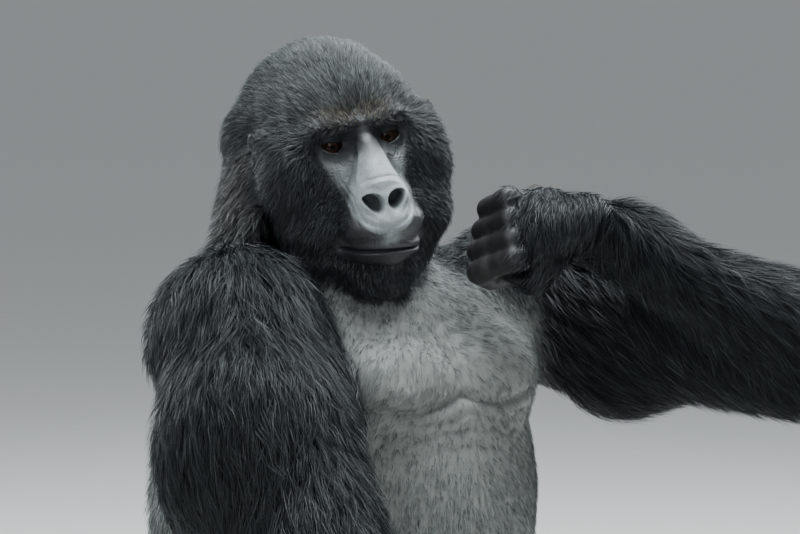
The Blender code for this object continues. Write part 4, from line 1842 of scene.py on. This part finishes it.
class Nodes:
    """Builds the nodes of one tree."""

    def __init__(self, tree: NodeTree) -> None:
        """Takes the tree that the nodes go in."""
        self.tree = tree

    def add(self, kind: str, inputs: dict | None = None, **settings: object) -> Node:
        """Adds a node, sets its fields, and sets or links its inputs.

        Args:
            kind: the node's class name, without ShaderNode.
            inputs: input name or number to a value or to another node's output.
            settings: fields of the node.

        Returns:
            The new node.
        """
        node = self.tree.nodes.new("ShaderNode" + kind)
        for key, value in settings.items():
            setattr(node, key, value)
        self.put(node, inputs or {})
        return node

    def put(self, node: Node, inputs: dict) -> None:
        """Sets or links some of a node's inputs.

        Args:
            node: the node.
            inputs: input name or number to a value or to another node's output.
        """
        for key, value in inputs.items():
            if isinstance(value, Socket):
                self.tree.links.new(value, node.inputs[key])
            elif isinstance(value, tuple) and node.inputs[key].type == "RGBA":
                node.inputs[key].default_value = (*value, 1.0)
            else:
                node.inputs[key].default_value = value

    def span(self, value: Socket, low: float, high: float, first: float = 0.0, last: float = 1.0) -> Socket:
        """A number from first to last as the value goes from low to high."""
        return self.add("MapRange", {0: value, 1: low, 2: high, 3: first, 4: last}).outputs[0]

    def scaled(self, vector: Socket, scale: object) -> Socket:
        """A vector or a colour times a number."""
        return self.add("VectorMath", {0: vector, 3: scale}, operation="SCALE").outputs[0]

    def noise(self, place: Socket, scale: object, detail: float) -> Node:
        """Soft noise in space."""
        return self.add("TexNoise", {"Vector": place, "Scale": scale, "Detail": detail})

    def mask(self, name: str) -> Socket:
        """A stored mask."""
        return self.add("Attribute", attribute_name=name).outputs["Fac"]

    def mix(self, share: object, first: object, second: object) -> Socket:
        """A blend of two colours."""
        node = self.add("Mix", {0: share, 6: first, 7: second}, data_type="RGBA", clamp_factor=True)
        return node.outputs[2]

    def math(self, operation: str, first: object, second: object = 0.0) -> Socket:
        """A sum on one or two numbers."""
        return self.add("Math", {0: first, 1: second}, operation=operation).outputs[0]


def new_group(name: str, scale: float, output: str) -> tuple[NodeTree, Nodes, Socket]:
    """Starts a shader node group with a scale in and one number out.

    Args:
        name: the group's name.
        scale: its scale where none is given.
        output: the name of the number.

    Returns:
        The group's tree, the builder of its nodes and its scale.
    """
    tree = bpy.data.node_groups.new(name, "ShaderNodeTree")
    kind = "NodeSocketFloat"
    tree.interface.new_socket("Scale", in_out="INPUT", socket_type=kind).default_value = scale
    tree.interface.new_socket(output, in_out="OUTPUT", socket_type=kind)
    return tree, Nodes(tree), tree.nodes.new("NodeGroupInput").outputs["Scale"]


def wrinkle_group() -> NodeTree:
    """Fine crossing wrinkles and pores, as one height from 0 to 1.

    Returns:
        The group.
    """
    tree, nodes, scale = new_group("wrinkles", 260.0, "Height")
    place = nodes.add("TexCoord").outputs["Object"]
    bend = nodes.noise(place, nodes.math("MULTIPLY", scale, 0.16), 3.0).outputs["Color"]
    place = nodes.add("VectorMath", {0: place, 1: nodes.scaled(bend, 0.010)}, operation="ADD").outputs[0]
    cells = nodes.add("TexVoronoi", {"Vector": place, "Scale": scale}, feature="DISTANCE_TO_EDGE")
    grooves = nodes.span(cells.outputs["Distance"], 0.0, 0.22)
    grain = nodes.noise(place, nodes.math("MULTIPLY", scale, 3.0), 4.0).outputs["Fac"]
    height = nodes.math("ADD", nodes.math("MULTIPLY", grooves, 0.7), nodes.math("MULTIPLY", grain, 0.3))
    nodes.put(tree.nodes.new("NodeGroupOutput"), {"Height": height})
    return tree


def mottle_group() -> NodeTree:
    """Soft blotches from 0 to 1, large ones with small ones over them.

    Returns:
        The group.
    """
    tree, nodes, scale = new_group("mottle", 60.0, "Fac")
    place = nodes.add("TexCoord").outputs["Object"]
    large = nodes.noise(place, scale, 5.0).outputs["Fac"]
    small = nodes.noise(place, nodes.math("MULTIPLY", scale, 6.0), 3.0).outputs["Fac"]
    both = nodes.math("ADD", nodes.math("MULTIPLY", large, 0.65), nodes.math("MULTIPLY", small, 0.35))
    nodes.put(tree.nodes.new("NodeGroupOutput"), {"Fac": nodes.span(both, 0.32, 0.68)})
    return tree


class Finishes:
    """Builds the materials from their finishes."""

    def __init__(self) -> None:
        """Builds the shared groups."""
        self.wrinkles = wrinkle_group()
        self.mottle = mottle_group()

    @staticmethod
    def start(name: str) -> tuple[Material, Nodes, Node]:
        """Starts a material.

        Args:
            name: its name.

        Returns:
            The material, the builder of its nodes and its shader.
        """
        material = bpy.data.materials.new(name)
        material.use_nodes = True
        return material, Nodes(material.node_tree), material.node_tree.nodes["Principled BSDF"]

    @staticmethod
    def group(nodes: Nodes, tree: NodeTree, scale: float) -> Socket:
        """The number that a shared group gives at a scale."""
        return nodes.add("Group", {"Scale": scale}, node_tree=tree).outputs[0]

    def hair(self, finish: HairFinish) -> Material:
        """Hair: darkened at the root as painted shade and lightened blue-grey at the black tips as painted
        sheen, with silver, painted light on the crown, and tan where the masks say.

        Args:
            finish: its colours and gloss.

        Returns:
            The material.
        """
        material, nodes, shader = self.start(finish.name)
        tip, silver, tan, vary = (nodes.mask(key) for key in ("tip", "silver", "tan", "vary"))
        # painted shade at the roots, painted blue-grey sheen at the black tips
        black = nodes.mix(tip, finish.black_root, finish.black_tip)
        grey = nodes.mix(tip, finish.silver_root, finish.silver_tip)
        brown = nodes.mix(tip, finish.black_root, finish.tan_tip)
        mixed = nodes.math("ADD", silver, nodes.math("MULTIPLY", vary, finish.variety))
        colour = nodes.mix(nodes.span(mixed, *finish.silver_edge), black, grey)
        colour = nodes.mix(nodes.math("MULTIPLY", tan, nodes.math("ADD", vary, 0.25)), colour, brown)
        tinted = nodes.scaled(colour, nodes.span(vary, 0.1, 0.9, *finish.shades))
        nodes.put(shader, {"Base Color": tinted, "Roughness": finish.roughness})
        nodes.put(shader, {"Specular IOR Level": finish.gloss, "Sheen Weight": finish.sheen})
        nodes.put(shader, {"Sheen Roughness": finish.sheen_roughness, "Sheen Tint": finish.sheen_tint})
        return material

    def skin(self, finish: SkinFinish) -> Material:
        """Leathery skin: nearly black under the coat and dark on the face, with a painted pale sheen on the
        nose, painted shade in the sockets, the mouth's line, the nostrils and the ears, and a painted glint
        on the wet lid edges.

        Args:
            finish: its colours and gloss.

        Returns:
            The material.
        """
        material, nodes, shader = self.start(finish.name)
        names = ("bare", "pale", "silver", "wet", "palm", "dark")
        bare, pale, silver, wet, palm, dark = (nodes.mask(name) for name in names)
        blotch = self.group(nodes, self.mottle, finish.blotches)
        fold = self.group(nodes, self.wrinkles, finish.wrinkles)
        under = nodes.mix(silver, finish.under_coat, finish.chest)
        colour = nodes.mix(bare, under, finish.face)
        colour = nodes.mix(palm, colour, finish.palm)
        # painted sheen on the nose, the lip and under the eyes, in blotches
        dull = tuple(finish.dull * value for value in finish.pale)
        colour = nodes.mix(pale, colour, nodes.mix(blotch, dull, finish.pale))
        # painted shade: the sockets, the mouth's line, the nostrils and the ears are darkened towards the
        # colour under the coat
        colour = nodes.mix(nodes.math("MULTIPLY", dark, 0.88), colour, finish.under_coat)
        # painted glint on the wet lid edges; the lower roughness below is their real wetness
        colour = nodes.mix(wet, colour, finish.wet)
        shaded = nodes.scaled(colour, nodes.span(fold, 0.1, 0.9, *finish.wrinkle_shade))
        least, most = finish.roughness - finish.unevenness, finish.roughness + finish.unevenness
        rough = nodes.span(blotch, 0.0, 1.0, least, most)
        rough = nodes.math("SUBTRACT", rough, nodes.math("MULTIPLY", wet, 0.35))
        bump = nodes.add("Bump", {"Height": fold, "Strength": finish.bump, "Distance": finish.depth})
        gloss = nodes.span(dark, 0.0, 1.0, finish.gloss, finish.dark_gloss)
        gloss = nodes.math("MULTIPLY", gloss, nodes.span(bare, 0.0, 1.0, finish.covered_gloss))
        nodes.put(shader, {"Base Color": shaded, "Roughness": rough})
        nodes.put(shader, {"Normal": bump.outputs[0], "Specular IOR Level": gloss})
        return material

    def eye(self, finish: EyeFinish) -> Material:
        """A wet eye: dark pupil, brown streaked iris, dark ring and dark brown white.

        Args:
            finish: its colours and gloss.

        Returns:
            The material.
        """
        material, nodes, shader = self.start(finish.name)
        reach, around = nodes.mask("reach"), nodes.mask("around")
        noise = nodes.add("TexNoise", {"Scale": 1.0, "Detail": 3.0, "W": around}, noise_dimensions="1D")
        colour = nodes.mix(noise.outputs["Fac"], finish.iris, finish.light)
        colour = nodes.mix(nodes.span(reach, *finish.pupil_edge), finish.pupil, colour)
        for edge, beyond in ((finish.ring_edge, finish.ring), (finish.white_edge, finish.white)):
            colour = nodes.mix(nodes.span(reach, *edge), colour, beyond)
        nodes.put(shader, {"Base Color": colour, "Roughness": finish.roughness})
        nodes.put(shader, {"Specular IOR Level": finish.gloss})
        return material

    def plain(self, finish: PlainFinish) -> Material:
        """An even finish with faint blotches.

        Args:
            finish: its colour and gloss.

        Returns:
            The material.
        """
        material, nodes, shader = self.start(finish.name)
        blotch = self.group(nodes, self.mottle, finish.blotches)
        lighter = tuple(min(1.0, value * finish.lighter) for value in finish.colour)
        colour = nodes.mix(blotch, finish.colour, lighter)
        nodes.put(shader, {"Base Color": colour, "Roughness": finish.roughness})
        return material


# ---- the eyes


@dataclass
class Eyeball:
    """One eyeball with a bulging cornea, turned to where the animal looks."""

    plan: EyePlan
    iris: float = 0.0080
    bulge: float = 0.0009
    inset: float = 0.0003

    def build(self, name: str, side: float) -> Item:
        """Makes an eyeball.

        Args:
            name: the object's name.
            side: 1 for the left, -1 for the right.

        Returns:
            The eyeball, with masks for its rings and streaks.
        """
        clay = bmesh.new()
        bmesh.ops.create_uvsphere(clay, u_segments=64, v_segments=40, radius=1.0)
        mesh = to_mesh(clay, name)
        points = read_points(mesh)
        off = np.arccos(np.clip(points[:, 2], -1, 1)) * self.plan.radius / self.iris
        around = np.arctan2(points[:, 1], points[:, 0])
        radius = self.plan.radius - self.inset + self.bulge * (1 - ramp(0.2, 1.15, off))
        points = points * radius[:, None]
        turned = Matrix.Rotation(math.radians(self.plan.gaze_turn), 4, "Z")
        turned = turned @ Matrix.Rotation(math.radians(90 + self.plan.gaze_drop), 4, "X")
        at = Matrix.Translation(tuple(self.plan.centre(side)))
        matrix = np.array(HEAD.matrix() @ at @ turned)
        write_points(mesh, points @ matrix[:3, :3].T + matrix[:3, 3])
        add_mask(mesh, "reach", off)
        add_mask(mesh, "around", around * 9.0)
        shade_smooth(mesh)
        return add_object(name, mesh)


# ---- the nails


@dataclass
class Nails:
    """Dark curved nails at the ends of the fingers and toes."""

    length: float = 0.0125
    width: float = 0.0115
    thick: float = 0.0010
    stand: float = 0.0004
    curve: Pair = (0.0026, 0.0016)
    reach: float = 0.030
    rows: int = 7
    columns: int = 9

    def build(self, pelt: Pelt) -> Item:
        """Lays a nail on the back of each finger's and toe's tip.

        Args:
            pelt: the skin, to lay them on.

        Returns:
            All the nails as one object.
        """
        clay = bmesh.new()
        spots = [spot for hand in (LEFT_HAND, RIGHT_HAND) for spot in hand.tips()]
        spots += [spot for _, side in SIDES for spot in Foot(side).tips()]
        for tip, along, out in spots:
            start = tip - along.normalized() * 0.001
            hit, normal, _, _ = pelt.tree.ray_cast(start + out.normalized() * self.reach, -out.normalized())
            if hit is None:
                continue
            self.lay(clay, hit, normal, along)
        mesh = to_mesh(clay, "nails")
        shade_smooth(mesh)
        return add_object("nails", mesh)

    def lay(self, clay: Clay, at: Vector, normal: Vector, along: Vector) -> None:
        """Adds one nail, curved across like half a tile and rounded at its free end.

        Args:
            clay: what it is added to.
            at: its place on the skin.
            normal: the way the skin faces there.
            along: the way the finger or toe points.
        """
        forward = (along - normal * along.dot(normal)).normalized()
        across = forward.cross(normal)
        rows, columns = self.rows, self.columns
        grid: dict[tuple[int, int, int], bmesh.types.BMVert] = {}
        for layer in range(2):
            for row in range(rows):
                part = row / (rows - 1)
                half = self.width / 2 * math.sqrt(max(0.02, 1 - (2 * part - 1) ** 4 * 0.75))
                for column in range(columns):
                    aside = 2 * column / (columns - 1) - 1
                    sink = self.curve[0] * aside * aside + self.curve[1] * part * part
                    high = (0.0 if layer else self.thick) + self.stand - sink
                    place = at + forward * (part - 0.45) * self.length + across * half * aside + normal * high
                    grid[layer, row, column] = clay.verts.new(place)
        for row in range(rows - 1):
            for column in range(columns - 1):
                corners = ((row, column), (row, column + 1), (row + 1, column + 1), (row + 1, column))
                clay.faces.new([grid[0, *corner] for corner in corners])
                clay.faces.new([grid[1, *corner] for corner in reversed(corners)])
        ring = [(0, column) for column in range(columns)] + [(row, columns - 1) for row in range(1, rows)]
        ring += [(rows - 1, column) for column in range(columns - 2, -1, -1)]
        ring += [(row, 0) for row in range(rows - 2, 0, -1)]
        for first, second in zip(ring, ring[1:] + ring[:1]):
            clay.faces.new([grid[0, *second], grid[0, *first], grid[1, *first], grid[1, *second]])


# ---- stage


@dataclass
class Studio:
    """A pale floor, soft lights and the camera."""

    azimuth: float = -50.0
    elevation: float = 5.0
    distance: float = 5.0
    lens: float = 184.5
    aside: float = 0.061
    height: float = 0.861
    floor_radius: float = 240.0
    light: Colour = (0.90, 0.97, 1.0)
    sky: Colour = (0.90, 0.95, 1.0)
    sky_strength: float = 0.42

    def build(self, finishes: Finishes) -> None:
        """Sets the stage.

        Args:
            finishes: the builder of materials.
        """
        self.floor(finishes)
        self.lights()
        self.camera()

    def right(self) -> Vector:
        """The camera's right, along the floor."""
        turn = math.radians(self.azimuth)
        return Vector((math.cos(turn), math.sin(turn), 0.0))

    def towards(self) -> Vector:
        """The direction from the animal to the camera."""
        turn, rise = math.radians(self.azimuth), math.radians(self.elevation)
        return Vector((math.sin(turn) * math.cos(rise), -math.cos(turn) * math.cos(rise), math.sin(rise)))

    def floor(self, finishes: Finishes) -> None:
        """A wide pale floor that the animal sits on.

        Args:
            finishes: the builder of materials.
        """
        clay = bmesh.new()
        bmesh.ops.create_circle(clay, cap_ends=True, segments=96, radius=self.floor_radius)
        mesh = to_mesh(clay, "floor")
        mesh.materials.append(finishes.plain(FLOOR))
        add_object("floor", mesh)

    def lights(self) -> None:
        """A big soft light overhead, one beside the camera, a rim light, and a pale world."""
        aim = Vector((0, -0.05, 0.75))
        right, towards = self.right(), self.towards()
        lamps = (
            ("overhead", aim + Vector((0, 0, 3.2)) + right * 0.5 - towards * 0.1, 2.8, 330.0),
            ("beside", aim + towards * 3.6 - right * 2.2 + Vector((0, 0, 1.8)), 2.0, 115.0),
            ("rim", aim - towards * 2.6 + right * 2.2 + Vector((0, 0, 2.2)), 2.0, 130.0),
            ("rim_other", aim - towards * 2.4 - right * 2.6 + Vector((0, 0, 1.8)), 2.0, 100.0),
        )
        for name, at, size, power in lamps:
            lamp = bpy.data.lights.new(name, "AREA")
            lamp.shape = "DISK"
            lamp.size = size
            lamp.energy = power
            lamp.color = self.light
            item = add_object(name, lamp)
            item.location = at
            item.rotation_euler = (at - aim).to_track_quat("Z", "Y").to_euler()
        world = bpy.data.worlds.new("studio")
        world.use_nodes = True
        background = world.node_tree.nodes["Background"]
        Nodes(world.node_tree).put(background, {0: self.sky, 1: self.sky_strength})
        bpy.context.scene.world = world

    def camera(self) -> None:
        """The camera, a little above the animal's chest, in front of its right shoulder."""
        lens = bpy.data.cameras.new("camera")
        lens.lens = self.lens
        lens.sensor_width = 36.0
        aim = self.right() * self.aside + Vector((0, 0, self.height))
        item = add_object("camera", lens)
        item.location = aim + self.towards() * self.distance
        item.rotation_euler = self.towards().to_track_quat("Z", "Y").to_euler()
        bpy.context.scene.camera = item


# ---- all together


def dress(item: Item, material: Material) -> None:
    """Gives a piece its material and its slot, and lets it ride on the body.

    Args:
        item: the piece.
        material: its material.
    """
    item.data.materials.clear()
    item.data.materials.append(material)
    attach(item, "root")


def main() -> None:
    """Builds the gorilla over its frame."""
    logging.basicConfig(level=logging.INFO, format="%(relativeCreated)7d ms %(message)s")
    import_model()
    finishes = Finishes()
    skin = Skin(SkinPlan())
    item = skin.build()
    log.info("skin: %d faces", len(item.data.polygons))
    dress(item, finishes.skin(SkinFinish()))
    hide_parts(*(part.value for part in PARTS))
    short_hair, long_hair = finishes.hair(HairFinish()), finishes.hair(SHADED_LONG_HAIR)
    pelt = Pelt(skin)
    dress(Nails().build(pelt), finishes.plain(NAIL))
    log.info("nails")
    for piece in Coat(CoatPlan(), pelt).build():
        # the arms, legs and back take the shaded copy of the hair
        long = any(name in piece.name for name in ("arm", "leg", "back"))
        dress(piece, long_hair if long else short_hair)
    eye = finishes.eye(EyeFinish())
    for label, side in SIDES:
        ball = Eyeball(EYES).build("eyeball_" + label, side)
        dress(ball, eye)
        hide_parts("eye_" + label)
        log.info("eye on the %s", label)
    Studio().build(finishes)


if __name__ == "__main__":
    main()
